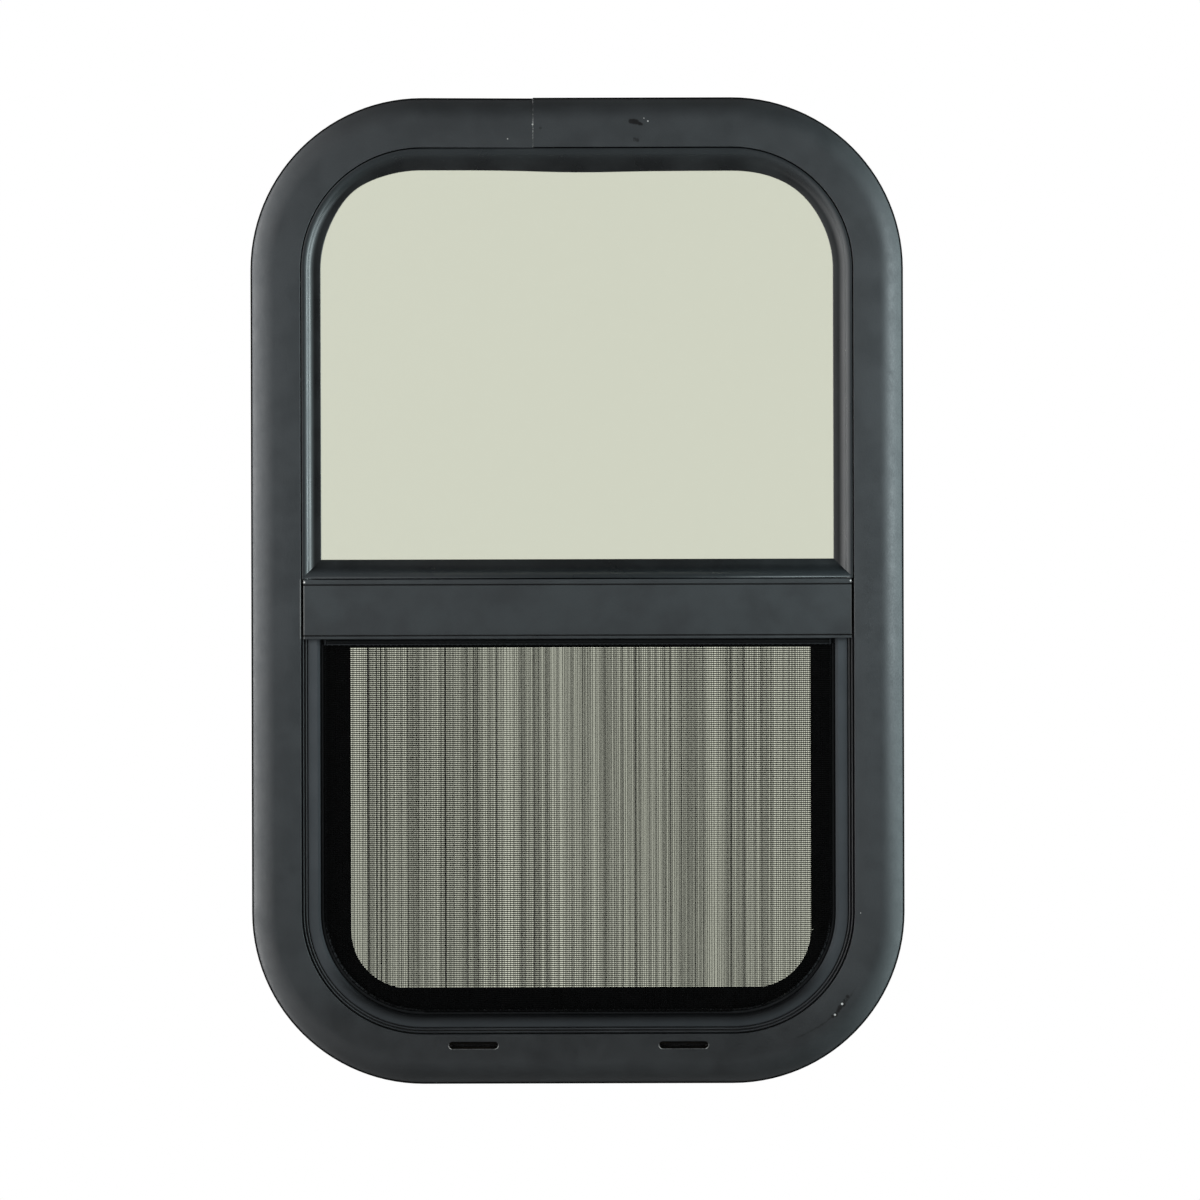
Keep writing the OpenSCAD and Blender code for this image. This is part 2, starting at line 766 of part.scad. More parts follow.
outer_frame();
frame_splice();
upper_glass();
upper_glass_tape();
upper_seal();
upper_seal_bottom();
meeting_rail();
rail_pile();
screen_gasket();
screen_frame();
screen_top_bar();
screen_spline();
screen_mesh();
weep_baffles();
sash_glass();
sash_top_rail();
sash_pull_rail();
sash_latches();
latch_buttons();
latch_bolts();
catch_strips();
run_channels();
bottom_seal();
clamp_ring();
clamp_ring_splice();
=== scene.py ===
import math
import random

import bpy
import numpy as np
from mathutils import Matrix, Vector


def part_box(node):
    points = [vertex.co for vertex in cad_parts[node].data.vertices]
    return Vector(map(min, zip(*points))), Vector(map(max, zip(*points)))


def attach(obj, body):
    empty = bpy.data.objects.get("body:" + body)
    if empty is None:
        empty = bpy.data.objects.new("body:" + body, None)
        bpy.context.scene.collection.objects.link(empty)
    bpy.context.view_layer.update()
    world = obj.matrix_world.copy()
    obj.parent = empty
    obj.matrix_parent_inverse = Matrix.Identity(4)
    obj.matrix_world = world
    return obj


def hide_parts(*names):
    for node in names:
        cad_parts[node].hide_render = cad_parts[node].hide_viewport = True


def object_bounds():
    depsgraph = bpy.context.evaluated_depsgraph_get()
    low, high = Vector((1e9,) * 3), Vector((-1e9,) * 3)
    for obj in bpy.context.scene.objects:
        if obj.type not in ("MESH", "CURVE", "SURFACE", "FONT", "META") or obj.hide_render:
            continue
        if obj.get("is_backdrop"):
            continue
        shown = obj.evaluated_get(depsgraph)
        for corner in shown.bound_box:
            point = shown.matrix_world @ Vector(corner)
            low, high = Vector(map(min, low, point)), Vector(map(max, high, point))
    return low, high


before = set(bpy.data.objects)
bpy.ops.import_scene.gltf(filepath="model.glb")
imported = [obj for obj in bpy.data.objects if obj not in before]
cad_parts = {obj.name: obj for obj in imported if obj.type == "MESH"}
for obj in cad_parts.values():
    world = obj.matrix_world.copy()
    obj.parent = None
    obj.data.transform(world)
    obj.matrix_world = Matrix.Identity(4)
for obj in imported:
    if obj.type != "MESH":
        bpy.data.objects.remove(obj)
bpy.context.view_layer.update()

MM = 0.001

# Outer frame: one aluminium extrusion of flange, glazing shelf, track, screw race and sleeve,
# bent to four large corners, butted at the top, punched with two weep slots and coated satin
# black. Its section is drawn once, in from the outer edge (u) and back from the wall face (y).
frame_low, frame_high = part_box("outer_frame")
HALF_W = frame_high.x / MM
BOTTOM = frame_low.z / MM
TOP = frame_high.z / MM
PROUD = -frame_low.y / MM
SLEEVE_END = frame_high.y / MM
MID_Z = (TOP + BOTTOM) / 2
HALF_H = (TOP - BOTTOM) / 2
CORNER_R = 104.6
BEND_X = HALF_W - CORNER_R
LOW_BEND = BOTTOM + CORNER_R
HIGH_BEND = TOP - CORNER_R
BEND_STEPS = 28
SKIN = 1.5
LIP_U = 30.6
SHELF_U = 39.1
SHELF_Y = 1.5
SLEEVE_U = 24.6
TRACK_BACK = 12
RACE_Y = 19.5
RACE_WALL_U = 30.5
FOOT_U = 15.1
RECESS_Y = -0.6
ROLL_W = 15
ROLL_R = (ROLL_W**2 + PROUD**2) / (2 * PROUD)
EDGING_W = 0.95
SEAM_X = -26.5
SEAM_GAP = 0.08
SEAM_STEP = 0.4
RAIL_MID_Z = 279
SLOT_X = 64
SLOT_LEN = 30
SLOT_H = 4.5
# The slots sit a little higher here than in the solids, as far up as the real ones.
SLOT_Z = BOTTOM + 23.9


def arc(centre, radius, start, stop, steps):
    """Points of an arc from start to stop degrees, as corners with no radius."""
    turns = [math.radians(start + (stop - start) * k / steps) for k in range(steps + 1)]
    return [(centre[0] + radius * math.cos(t), centre[1] + radius * math.sin(t), 0) for t in turns]


def outline(*corners):
    """Points of a closed line through (across, deep, radius) corners, each rounded to its radius."""
    points = []
    for before, here, after in zip(corners[-1:] + corners[:-1], corners, corners[1:] + corners[:1]):
        corner = Vector(here[:2])
        if here[2] == 0:
            points.append(corner)
            continue
        back = (Vector(before[:2]) - corner).normalized()
        ahead = (Vector(after[:2]) - corner).normalized()
        half = back.angle(ahead) / 2
        centre = corner + (back + ahead).normalized() * (here[2] / math.sin(half))
        sweep = math.pi - 2 * half
        steps = max(2, round(sweep / math.radians(25)))
        first = (corner + back * (here[2] / math.tan(half))) - centre
        side = 1 if back.x * ahead.y - back.y * ahead.x < 0 else -1
        for k in range(steps + 1):
            turn = side * sweep * k / steps
            points.append(centre + Vector((first.x * math.cos(turn) - first.y * math.sin(turn),
                                           first.x * math.sin(turn) + first.y * math.cos(turn))))
    return points


def new_piece(name):
    """An empty mesh object at the origin, left open in edit mode."""
    bpy.ops.object.select_all(action="DESELECT")
    bpy.ops.mesh.primitive_plane_add(size=MM)
    piece = bpy.context.object
    piece.name = name
    piece.data.name = name
    bpy.ops.object.mode_set(mode="EDIT")
    bpy.ops.mesh.delete(type="VERT")
    return piece


def draw(points):
    """Draws one closed line through the points from a single vertex, drawn out edge by edge."""
    bpy.ops.mesh.select_all(action="DESELECT")
    bpy.ops.mesh.primitive_plane_add(size=MM, location=points[0])
    bpy.ops.mesh.merge(type="CENTER")
    for here, there in zip(points, points[1:] + points[:1]):
        bpy.ops.mesh.extrude_vertices_move(TRANSFORM_OT_translate={"value": there - here})


def fill_section():
    """Joins the ends of the drawn lines and fills the section between them."""
    bpy.ops.mesh.select_all(action="SELECT")
    bpy.ops.mesh.remove_doubles(threshold=1e-7)
    bpy.ops.mesh.select_all(action="SELECT")
    bpy.ops.mesh.fill(use_beauty=True)


def close_piece(piece, smooth_angle=35):
    """Merges doubles, turns the faces outwards, leaves edit mode and smooths the shallow bends."""
    bpy.ops.mesh.select_all(action="SELECT")
    bpy.ops.mesh.remove_doubles(threshold=1e-6)
    bpy.ops.mesh.select_all(action="SELECT")
    bpy.ops.mesh.normals_make_consistent(inside=False)
    bpy.ops.object.mode_set(mode="OBJECT")
    bpy.ops.object.shade_smooth_by_angle(angle=math.radians(smooth_angle))
    return piece


def carry_round(name, first_run, start, corners, end, *outlines):
    """Carries a section anticlockwise, as seen from outside, from start on one run past so many
    corners to end. Runs in turn are top, left, bottom and right; start and end are x or z."""
    runs = ["top", "left", "bottom", "right"]
    place = {"top": lambda s, u, y: Vector((s, y, TOP - u)) * MM,
             "left": lambda s, u, y: Vector((-HALF_W + u, y, s)) * MM,
             "bottom": lambda s, u, y: Vector((s, y, BOTTOM + u)) * MM,
             "right": lambda s, u, y: Vector((HALF_W - u, y, s)) * MM}
    heading = {"top": Vector((-1, 0, 0)), "left": Vector((0, 0, -1)),
               "bottom": Vector((1, 0, 0)), "right": Vector((0, 0, 1))}
    leaves = {"top": -BEND_X, "left": LOW_BEND, "bottom": BEND_X, "right": HIGH_BEND}
    enters = {"top": BEND_X, "left": HIGH_BEND, "bottom": -BEND_X, "right": LOW_BEND}
    centres = {"top": (-BEND_X, HIGH_BEND), "left": (-BEND_X, LOW_BEND),
               "bottom": (BEND_X, LOW_BEND), "right": (BEND_X, HIGH_BEND)}
    piece = new_piece(name)
    for line in outlines:
        draw([place[first_run](start, u, y) for u, y in line])
    fill_section()
    at = start
    for k in range(corners + 1):
        run = runs[(runs.index(first_run) + k) % 4]
        stop = end if k == corners else leaves[run]
        bpy.ops.mesh.extrude_region_move(
            TRANSFORM_OT_translate={"value": heading[run] * abs(stop - at) * MM})
        if k < corners:
            x, z = centres[run]
            bpy.ops.mesh.spin(steps=BEND_STEPS, angle=math.pi / 2,
                              center=(x * MM, 0, z * MM), axis=(0, 1, 0))
            at = enters[runs[(runs.index(run) + 1) % 4]]
    return close_piece(piece)


def cut_out(piece, cutter):
    """Cuts one solid out of another and deletes the cutter."""
    boolean = piece.modifiers.new("cut", "BOOLEAN")
    boolean.object = cutter
    boolean.solver = "EXACT"
    bpy.context.view_layer.objects.active = piece
    bpy.ops.object.modifier_apply(modifier=boolean.name)
    bpy.data.objects.remove(cutter)


def slot_cutter(x, z, length, height, y, depth):
    """A round-ended slot cutter: a drill whose right half is drawn out to the slot's length."""
    bpy.ops.object.select_all(action="DESELECT")
    bpy.ops.mesh.primitive_cylinder_add(vertices=32, radius=height / 2 * MM, depth=depth * MM,
                                        location=((x - (length - height) / 2) * MM, y * MM, z * MM),
                                        rotation=(math.pi / 2, 0, 0))
    cutter = bpy.context.object
    bpy.ops.object.transform_apply(location=True, rotation=True, scale=True)
    middle = (x - (length - height) / 2) * MM
    bpy.ops.object.mode_set(mode="EDIT")
    bpy.ops.mesh.select_all(action="SELECT")
    bpy.ops.transform.rotate(value=math.pi / 32, orient_axis="Y",
                             center_override=(middle, y * MM, z * MM))
    bpy.ops.mesh.select_all(action="DESELECT")
    bpy.ops.object.mode_set(mode="OBJECT")
    for vertex in cutter.data.vertices:
        vertex.select = vertex.co.x > middle
    bpy.ops.object.mode_set(mode="EDIT")
    bpy.ops.transform.translate(value=((length - height) * MM, 0, 0))
    bpy.ops.object.mode_set(mode="OBJECT")
    return cutter


edging_turn = math.degrees(math.acos((ROLL_W - EDGING_W) / ROLL_R))
frame_outline = outline(
    *arc((ROLL_W, ROLL_R - PROUD), ROLL_R, 180 + edging_turn, 270, 16),
    (LIP_U, -PROUD, 0.45), (LIP_U, SHELF_Y, 0.2), (SHELF_U, SHELF_Y, 0.4),
    (SHELF_U, SHELF_Y + SKIN, 0.4), (SLEEVE_U, SHELF_Y + SKIN, 0), (SLEEVE_U, TRACK_BACK, 0),
    (SHELF_U, TRACK_BACK, 0.4), (SHELF_U, TRACK_BACK + SKIN, 0.4), (SLEEVE_U, TRACK_BACK + SKIN, 0),
    (SLEEVE_U, RACE_Y, 0), (RACE_WALL_U, RACE_Y, 0.4), (RACE_WALL_U, SLEEVE_END, 0.3),
    (RACE_WALL_U - SKIN, SLEEVE_END, 0.3), (RACE_WALL_U - SKIN, RACE_Y + SKIN, 0),
    (SLEEVE_U, RACE_Y + SKIN, 0), (SLEEVE_U, SLEEVE_END, 0.3), (SLEEVE_U - SKIN, SLEEVE_END, 0.3),
    (SLEEVE_U - SKIN, RECESS_Y, 0), (FOOT_U, RECESS_Y, 0), (FOOT_U, 0, 0.2), (EDGING_W, 0, 0))
cavity_turn = math.degrees(math.acos((ROLL_R - PROUD + SKIN) / (ROLL_R - SKIN)))
cavity_outline = outline(
    *arc((ROLL_W, ROLL_R - PROUD), ROLL_R - SKIN, 270 - cavity_turn, 270, 10),
    (LIP_U - SKIN, -PROUD + SKIN, 0.4), (LIP_U - SKIN, SHELF_Y, 0), (SLEEVE_U, SHELF_Y, 0),
    (SLEEVE_U, -SKIN, 0))

outer_frame = carry_round("frame_extrusion", "top", SEAM_X - SEAM_GAP / 2, 4, SEAM_X + SEAM_GAP / 2,
                          frame_outline, cavity_outline)
for side in (-1, 1):
    cut_out(outer_frame, slot_cutter(side * SLOT_X, SLOT_Z, SLOT_LEN, SLOT_H, -PROUD, 2 * SKIN + 1))


def sag_at_seam(piece):
    """The two cut ends don't quite line up: left of the seam the flange sits a little lower."""
    for vertex in piece.data.vertices:
        if vertex.co.z > HIGH_BEND * MM and vertex.co.x < SEAM_X * MM:
            reach = (vertex.co.x / MM + BEND_X) / (SEAM_X + BEND_X)
            vertex.co.z -= SEAM_STEP * MM * max(0.0, reach) ** 2


sag_at_seam(outer_frame)


def linear(code):
    """An sRGB hex colour as linear RGBA."""
    parts = [int(code[k:k + 2], 16) / 255 for k in (1, 3, 5)]
    return tuple(c / 12.92 if c <= 0.04045 else ((c + 0.055) / 1.055) ** 2.4 for c in parts) + (1,)


def new_material(name):
    """A material and its node tree, empty."""
    material = bpy.data.materials.new(name)
    material.use_nodes = True
    material.node_tree.nodes.clear()
    return material, material.node_tree


def add(tree, kind, links=(), **settings):
    """Adds a node with its settings. links gives its inputs, by name or in order, values or other
    nodes' outputs; a node stands for the first of its outputs that is in use."""
    node = tree.nodes.new("ShaderNode" + kind)
    for key, value in settings.items():
        setattr(node, key, value)
    sockets = [socket for socket in node.inputs if socket.enabled]
    if isinstance(links, dict):
        sockets = [next(socket for socket in sockets if socket.name == key) for key in links]
        links = links.values()
    for socket, value in zip(sockets, links):
        if isinstance(value, bpy.types.Node):
            value = next(output for output in value.outputs if output.enabled)
        if isinstance(value, bpy.types.NodeSocket):
            tree.links.new(value, socket)
        else:
            socket.default_value = value
    return node


def fades(tree, *steps):
    """A share that fades smoothly in and out, all steps multiplied. A step is a value, where its
    fade starts and ends, and the shares there, which are 0 and 1 where none are given."""
    share = 1
    for step in steps:
        ramp = add(tree, "MapRange", step, interpolation_type="SMOOTHSTEP")
        share = ramp if share == 1 else add(tree, "Math", (share, ramp), operation="MULTIPLY")
    return share


def heaviest(tree, *shares):
    """The largest of some shares at each place."""
    largest = shares[0]
    for share in shares[1:]:
        largest = add(tree, "Math", (largest, share), operation="MAXIMUM")
    return largest


def away(tree, value, level):
    """How far a value lies from a level, either way."""
    difference = add(tree, "Math", (value, level), operation="SUBTRACT")
    return add(tree, "Math", (difference,), operation="ABSOLUTE")


def millimetres(tree, place):
    """A place's x, y and z in millimetres."""
    axes = add(tree, "SeparateXYZ", (place,)).outputs
    return [add(tree, "Math", (axis, MM), operation="DIVIDE") for axis in axes]


def spot(tree, place, x, z, radius):
    """A soft-edged round patch on the face that looks out, at x and z in millimetres."""
    flat = add(tree, "VectorMath", (place, (1, 0, 1)), operation="MULTIPLY")
    reach = add(tree, "VectorMath", (flat, (x * MM, 0, z * MM)), operation="DISTANCE")
    return fades(tree, (reach, radius * MM, radius * 0.6 * MM))


def inset(tree, x, z):
    """How far a point lies in from the frame's outer edge, all round, in millimetres."""
    past_x = add(tree, "Math", (away(tree, x, 0), BEND_X), operation="SUBTRACT")
    past_z = add(tree, "Math", (away(tree, z, MID_Z), HALF_H - CORNER_R), operation="SUBTRACT")
    corner = add(tree, "CombineXYZ", (heaviest(tree, past_x, 0), heaviest(tree, past_z, 0)))
    reach = add(tree, "VectorMath", (corner,), operation="LENGTH")
    short = add(tree, "Math", (heaviest(tree, past_x, past_z), 0), operation="MINIMUM")
    from_edge = add(tree, "Math", (CORNER_R, reach), operation="SUBTRACT")
    return add(tree, "Math", (from_edge, short), operation="SUBTRACT")


def powder_coat(name, code, lighter, marks=None, rough=0.56, shine=0.5):
    """Satin black polyester powder on aluminium: fine orange peel, faint cloudy handling marks, and where
    marks says so sooty black rubs, bare bright chipped spots, painted shade and painted highlights."""
    material, tree = new_material(name)
    place = add(tree, "TexCoord").outputs["Object"]
    cloud = add(tree, "TexNoise", {"Vector": place, "Scale": 55, "Detail": 3})
    grain = add(tree, "TexNoise", {"Vector": place, "Scale": 900, "Detail": 2})
    smudge = add(tree, "TexNoise", {"Vector": place, "Scale": 130, "Detail": 4})
    colour = linear(code)
    for share in (fades(tree, (cloud, 0.3, 0.7)), fades(tree, (grain, 0.55, 0.75, 0, 0.5))):
        colour = add(tree, "Mix", (share, colour, linear(lighter)), data_type="RGBA")
    gloss = fades(tree, (cloud, 0.3, 0.75, rough - 0.04, rough + 0.04))
    for texture, change in ((grain, 0.035), (smudge, 0.025)):
        uneven = fades(tree, (texture, 0.35, 0.65, -change, change))
        gloss = add(tree, "Math", (gloss, uneven), operation="ADD")
    if marks:
        # marks gives two shares: sooty marks together with painted shade, and chipped spots together with
        # painted highlights.
        soot_and_shade, chip_and_highlight = marks(tree, place)
        colour = add(tree, "Mix", (soot_and_shade, colour, linear("#060607")), data_type="RGBA")
        colour = add(tree, "Mix", (chip_and_highlight, colour, linear("#d8d9d6")), data_type="RGBA")
        slick = add(tree, "Math", (soot_and_shade, 0.2), operation="MULTIPLY")
        gloss = add(tree, "Math", (gloss, slick), operation="SUBTRACT")
    peel = add(tree, "TexNoise", {"Vector": place, "Scale": 420, "Detail": 2})
    bump = add(tree, "Bump", {"Height": peel, "Strength": 0.25, "Distance": 0.0002})
    shader = add(tree, "BsdfPrincipled", {"Base Color": colour, "Roughness": gloss, "Normal": bump,
                                          "Specular IOR Level": shine})
    add(tree, "OutputMaterial", {"Surface": shader})
    return material


def frame_marks(tree, place):
    """Sooty marks, chipped spots, painted shade and a painted highlight on the frame: the seam's bare edge,
    pale slot rims, painted shade round the slot edges and in the slot walls, a painted highlight on the lip's
    edge beside the rail, one long rub round the lower right bend with two chipped spots, a black smear with
    two specks right of the seam, painted shade on the lip's inner wall, and the bottom flange darker towards
    the lip."""
    x, y, z = millimetres(tree, place)
    u = inset(tree, x, z)
    ripple = add(tree, "TexNoise", {"Vector": place, "Scale": 700, "Detail": 2})
    top_run = HIGH_BEND + CORNER_R / 2
    across = away(tree, away(tree, x, 0), SLOT_X)
    past = add(tree, "Math", (across, (SLOT_LEN - SLOT_H) / 2), operation="SUBTRACT")
    past = heaviest(tree, past, 0)
    rise = add(tree, "Math", (z, SLOT_Z), operation="SUBTRACT")
    from_slot = add(tree, "VectorMath", (add(tree, "CombineXYZ", (past, rise)),), operation="LENGTH")
    rim = add(tree, "Math", (from_slot, SLOT_H / 2), operation="SUBTRACT")
    chips_and_highlights = [
        fades(tree, (away(tree, x, SEAM_X + 0.1), 0.4, 0.15, 0, 0.4), (z, top_run, top_run + 1),
              (ripple, 0.45, 0.62, 0.1, 1), (u, 5, 12, 0.15, 1)),
        fades(tree, (rim, 0.55, 0.1), (rise, 1.2, -1.4), (past, 0, 1.2, 0.12, 0.75),
              (ripple, 0.35, 0.55, 0.3, 1)),
        # Painted highlight: the lip's edge beside the rail is lightened, on the left side only.
        fades(tree, (away(tree, u, LIP_U - 0.35), 0.35, 0.15), (away(tree, z, RAIL_MID_Z), 18.5, 17.5),
              (x, 0, -1, 0.05, 0.2))]
    for spot_x, spot_z, radius in ((160.4, 38, 0.85), (156, 31.4, 0.8), (171.8, 93.3, 0.35),
                                   (43.6, 575.5, 0.5), (41.2, 577.3, 0.3), (-26.6, 573.7, 0.6),
                                   (-41.8, 564.9, 0.4)):
        chips_and_highlights.append(spot(tree, place, spot_x, spot_z, radius))

    from_bend_x = add(tree, "Math", (x, BEND_X), operation="SUBTRACT")
    from_bend_z = add(tree, "Math", (z, LOW_BEND), operation="SUBTRACT")
    turn = add(tree, "Math", (from_bend_z, from_bend_x), operation="ARCTAN2")
    turn = add(tree, "Math", (turn,), operation="DEGREES")
    off_line = add(tree, "Math", (17, u), operation="SUBTRACT")
    for drift in (fades(tree, (turn, -45, -70, 0, 2.3)), fades(tree, (ripple, 0.3, 0.7, -0.3, 0.3))):
        off_line = add(tree, "Math", (off_line, drift), operation="ADD")
    # Painted shade: the first three darken the lip's inner wall, a band round each slot's edge and the slot
    # walls, where shade falls.
    soots_and_shade = [
        fades(tree, (u, LIP_U - 0.4, LIP_U - 0.1), (y, 0.2 - PROUD, 0.5 - PROUD)),
        fades(tree, (rim, 0.9, 0.35, 0, 0.35)),
        fades(tree, (rim, 0.5, 0.2), (y, 0.1 - PROUD, 0.5 - PROUD)),
        fades(tree, (turn, -73, -60), (turn, -28, -40), (away(tree, off_line, 0), 0.75, 0.25, 0, 0.75)),
        # The bottom flange is darkened towards the lip, below z 60.
        fades(tree, (u, 8, 18, 0.1, 0.45), (z, 60, 18))]
    patches = add(tree, "TexNoise", {"Vector": place, "Scale": 520, "Detail": 1})
    for cover, spots in (
            (0.97, ((33.2, 575.4, 1.8), (35, 575.3, 2.1), (36.6, 575, 2), (38.5, 574, 1.4),
                    (39.8, 573.6, 0.9))),
            (fades(tree, (patches, 0.33, 0.45, 0, 0.7)),
             ((35.4, 564.4, 1.5), (37.2, 563.9, 1.4), (-21.8, 571.5, 1.1))),
            (fades(tree, (patches, 0.33, 0.45, 0, 0.95)),
             ((163.7, 42.4, 1.4), (162.3, 40.2, 1.6), (160.9, 37.8, 2.1), (159, 35.8, 1.9),
              (157.8, 34, 1.7), (156.4, 31.6, 1.9), (154.6, 30.4, 1.4)))):
        for spot_x, spot_z, radius in spots:
            patch = spot(tree, place, spot_x, spot_z, radius)
            soots_and_shade.append(add(tree, "Math", (patch, cover), operation="MULTIPLY"))
    return heaviest(tree, *soots_and_shade), heaviest(tree, *chips_and_highlights)


def dress(piece, material, slot, *nodes):
    """Gives a finished piece its material and its body, in place of nodes. slot is not used."""
    piece.data.materials.clear()
    piece.data.materials.append(material)
    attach(piece, "root")
    if nodes:
        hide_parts(*nodes)


frame_coat = powder_coat("satin black powder coat on the frame", "#282b2d", "#2f3234", frame_marks)
dress(outer_frame, frame_coat, "frame_black", "outer_frame")

# Edging: a thin black rubber bead that closes the joint between the flange's rolled edge and the
# wall. It shows from outside as a fine black line all round.
EDGING_Y = ROLL_R - PROUD - math.sqrt(ROLL_R**2 - (ROLL_W - EDGING_W)**2) + 0.08
edging_outline = outline((0, 0, 0.3), (0, EDGING_Y, 0.7), (EDGING_W + 0.2, EDGING_Y, 0),
                         (EDGING_W - 0.05, EDGING_Y + 0.1, 0), (EDGING_W - 0.05, 0, 0))


def moulded_rubber(name, code, lighter, rough, crest=None, shine=0.5):
    """EPDM rubber, extruded: matt to satin black with dust in its pores and the slow grey bloom that old
    rubber gets; crest is a lighter colour painted where it stands furthest forward, a painted highlight for
    the light it catches."""
    material, tree = new_material(name)
    place = add(tree, "TexCoord").outputs["Object"]
    bloom = add(tree, "TexNoise", {"Vector": place, "Scale": 38, "Detail": 4})
    dust = add(tree, "TexNoise", {"Vector": place, "Scale": 1400, "Detail": 1})
    bloomed, dusted = fades(tree, (bloom, 0.35, 0.7)), fades(tree, (dust, 0.66, 0.78, 0, 0.3))
    colour = add(tree, "Mix", (bloomed, linear(code), linear(lighter)), data_type="RGBA")
    colour = add(tree, "Mix", (dusted, colour, linear("#55585a")), data_type="RGBA")
    # Painted highlight: the crest is painted lighter where it stands furthest forward, for the light it
    # catches.
    if crest:
        depth = add(tree, "SeparateXYZ", (place,)).outputs["Y"]
        painted_lit_crest = fades(tree, (depth, -6 * MM, -9.6 * MM))
        colour = add(tree, "Mix", (painted_lit_crest, colour, linear(crest)), data_type="RGBA")
    gloss = fades(tree, (bloom, 0.3, 0.7, rough - 0.04, rough + 0.06))
    pores = add(tree, "TexNoise", {"Vector": place, "Scale": 1100, "Detail": 2})
    bump = add(tree, "Bump", {"Height": pores, "Strength": 0.15, "Distance": 0.0001})
    shader = add(tree, "BsdfPrincipled", {"Base Color": colour, "Roughness": gloss, "Normal": bump,
                                          "IOR": 1.5, "Specular IOR Level": shine})
    add(tree, "OutputMaterial", {"Surface": shader})
    return material


edging = carry_round("flange_edging", "top", SEAM_X - SEAM_GAP / 2, 4, SEAM_X + SEAM_GAP / 2,
                     edging_outline)
sag_at_seam(edging)
dress(edging, moulded_rubber("matt black EPDM edging, extruded", "#060606", "#0b0b0b", 0.85, shine=0.12),
      "seal_rubber")


# Joint plates: two strips of plain aluminium behind the butt seams of the frame and of the clamp
# ring, cut from sheet and pressed in.
def mill_aluminium(name):
    """Mill-finish aluminium sheet, rolled: long fine lines that spread the light one way."""
    material, tree = new_material(name)
    place = add(tree, "TexCoord").outputs["Object"]
    lines = add(tree, "Mapping", {"Vector": place, "Scale": (40, 2500, 2500)})
    grain = add(tree, "TexNoise", {"Vector": lines, "Scale": 1, "Detail": 2})
    colour = add(tree, "Mix", (grain, linear("#9a9c9e"), linear("#b9bbbc")), data_type="RGBA")
    gloss = fades(tree, (grain, 0.3, 0.7, 0.3, 0.46))
    shader = add(tree, "BsdfPrincipled", {"Base Color": colour, "Roughness": gloss, "Metallic": 1})
    add(tree, "OutputMaterial", {"Surface": shader})
    return material


def dress_node(name, material):
    """Gives a CAD piece that stays a finish of its own."""
    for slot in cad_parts[name].material_slots:
        slot.material = material


sheet_metal = mill_aluminium("mill finish aluminium, rolled sheet")
dress_node("frame_splice", sheet_metal)
dress_node("clamp_ring_splice", sheet_metal)


# Fixed pane: 4 mm toughened float glass with a green-grey body tint, on a foam tape that beds it
# to the frame's shelf.
def tinted_glass(name):
    """Body-tinted float glass: flat and clear, and what shows through it turns a greyish green."""
    material, tree = new_material(name)
    shader = add(tree, "BsdfPrincipled", {"Base Color": linear("#d4d7c6"), "Roughness": 0, "IOR": 1.52,
                                          "Transmission Weight": 1})
    add(tree, "OutputMaterial", {"Surface": shader})
    return material


glass = tinted_glass("green grey tinted float glass")
dress_node("upper_glass", glass)
dress_node("sash_glass", glass)


def foam_tape(name):
    """Closed-cell polyethylene foam tape: black, matt, with a fine cell texture."""
    material, tree = new_material(name)
    place = add(tree, "TexCoord").outputs["Object"]
    cells = add(tree, "TexVoronoi", {"Vector": place, "Scale": 1800})
    colour = add(tree, "Mix", (cells, linear("#0d0d0d"), linear("#232323")), data_type="RGBA")
    bump = add(tree, "Bump", {"Height": cells, "Strength": 0.4, "Distance": 0.0002})
    shader = add(tree, "BsdfPrincipled", {"Base Color": colour, "Roughness": 0.95, "Normal": bump})
    add(tree, "OutputMaterial", {"Surface": shader})
    return material


dress_node("upper_glass_tape", foam_tape("black closed-cell foam tape"))

# Glazing seal: EPDM wedge pushed in between lip and pane, with a round crest beside the lip and a
# thin toe on the glass. One length runs up both sides and over the top, a second along the rail;
# they meet in mitres at the rail.
rail_low, rail_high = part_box("meeting_rail")
RAIL_TOP = 296.95
RAIL_LOW = rail_low.z / MM
SEAL_U = LIP_U + 0.15
SEAL_W = 12.1
PANE_Y = -3.5
SEAL_TOP = PANE_Y - 6.6
CREST_R = 4.4
HOLLOW_R = 6
SEAL_STEEP = 50
SEAL_BASE_Z = RAIL_TOP + 0.3
lean_u, lean_y = math.sin(math.radians(SEAL_STEEP)), math.cos(math.radians(SEAL_STEEP))
crest = (SEAL_U + 1.2, SEAL_TOP + CREST_R)
hollow = (crest[0] + (CREST_R + HOLLOW_R) * lean_u, crest[1] - (CREST_R + HOLLOW_R) * lean_y)
seal_outline = outline(
    (SEAL_U + 0.5, SEAL_TOP + 0.1, 0.1), *arc(crest, CREST_R, 270, 270 + SEAL_STEEP, 10),
    *arc(hollow, HOLLOW_R, 90 + SEAL_STEEP, 93, 8),
    (SEAL_U + SEAL_W, SEAL_TOP + 3.9, 0.4), (SEAL_U + SEAL_W, PANE_Y, 0),
    (SEAL_U + 0.9, PANE_Y, 0), (SEAL_U + 0.9, 0.4, 0.2), (SEAL_U, 0.4, 0.2))
MITRE_GAP = 0.08
HANG_U = SEAL_U + 5.5
TOE_SAG = 1.45
TOE_SAG_RIGHT = 0.65
TOE_SAG_MIDDLE = 1.2
TOE_TUCK_LEFT = 2.1
TOE_TUCK_RIGHT = 0.7


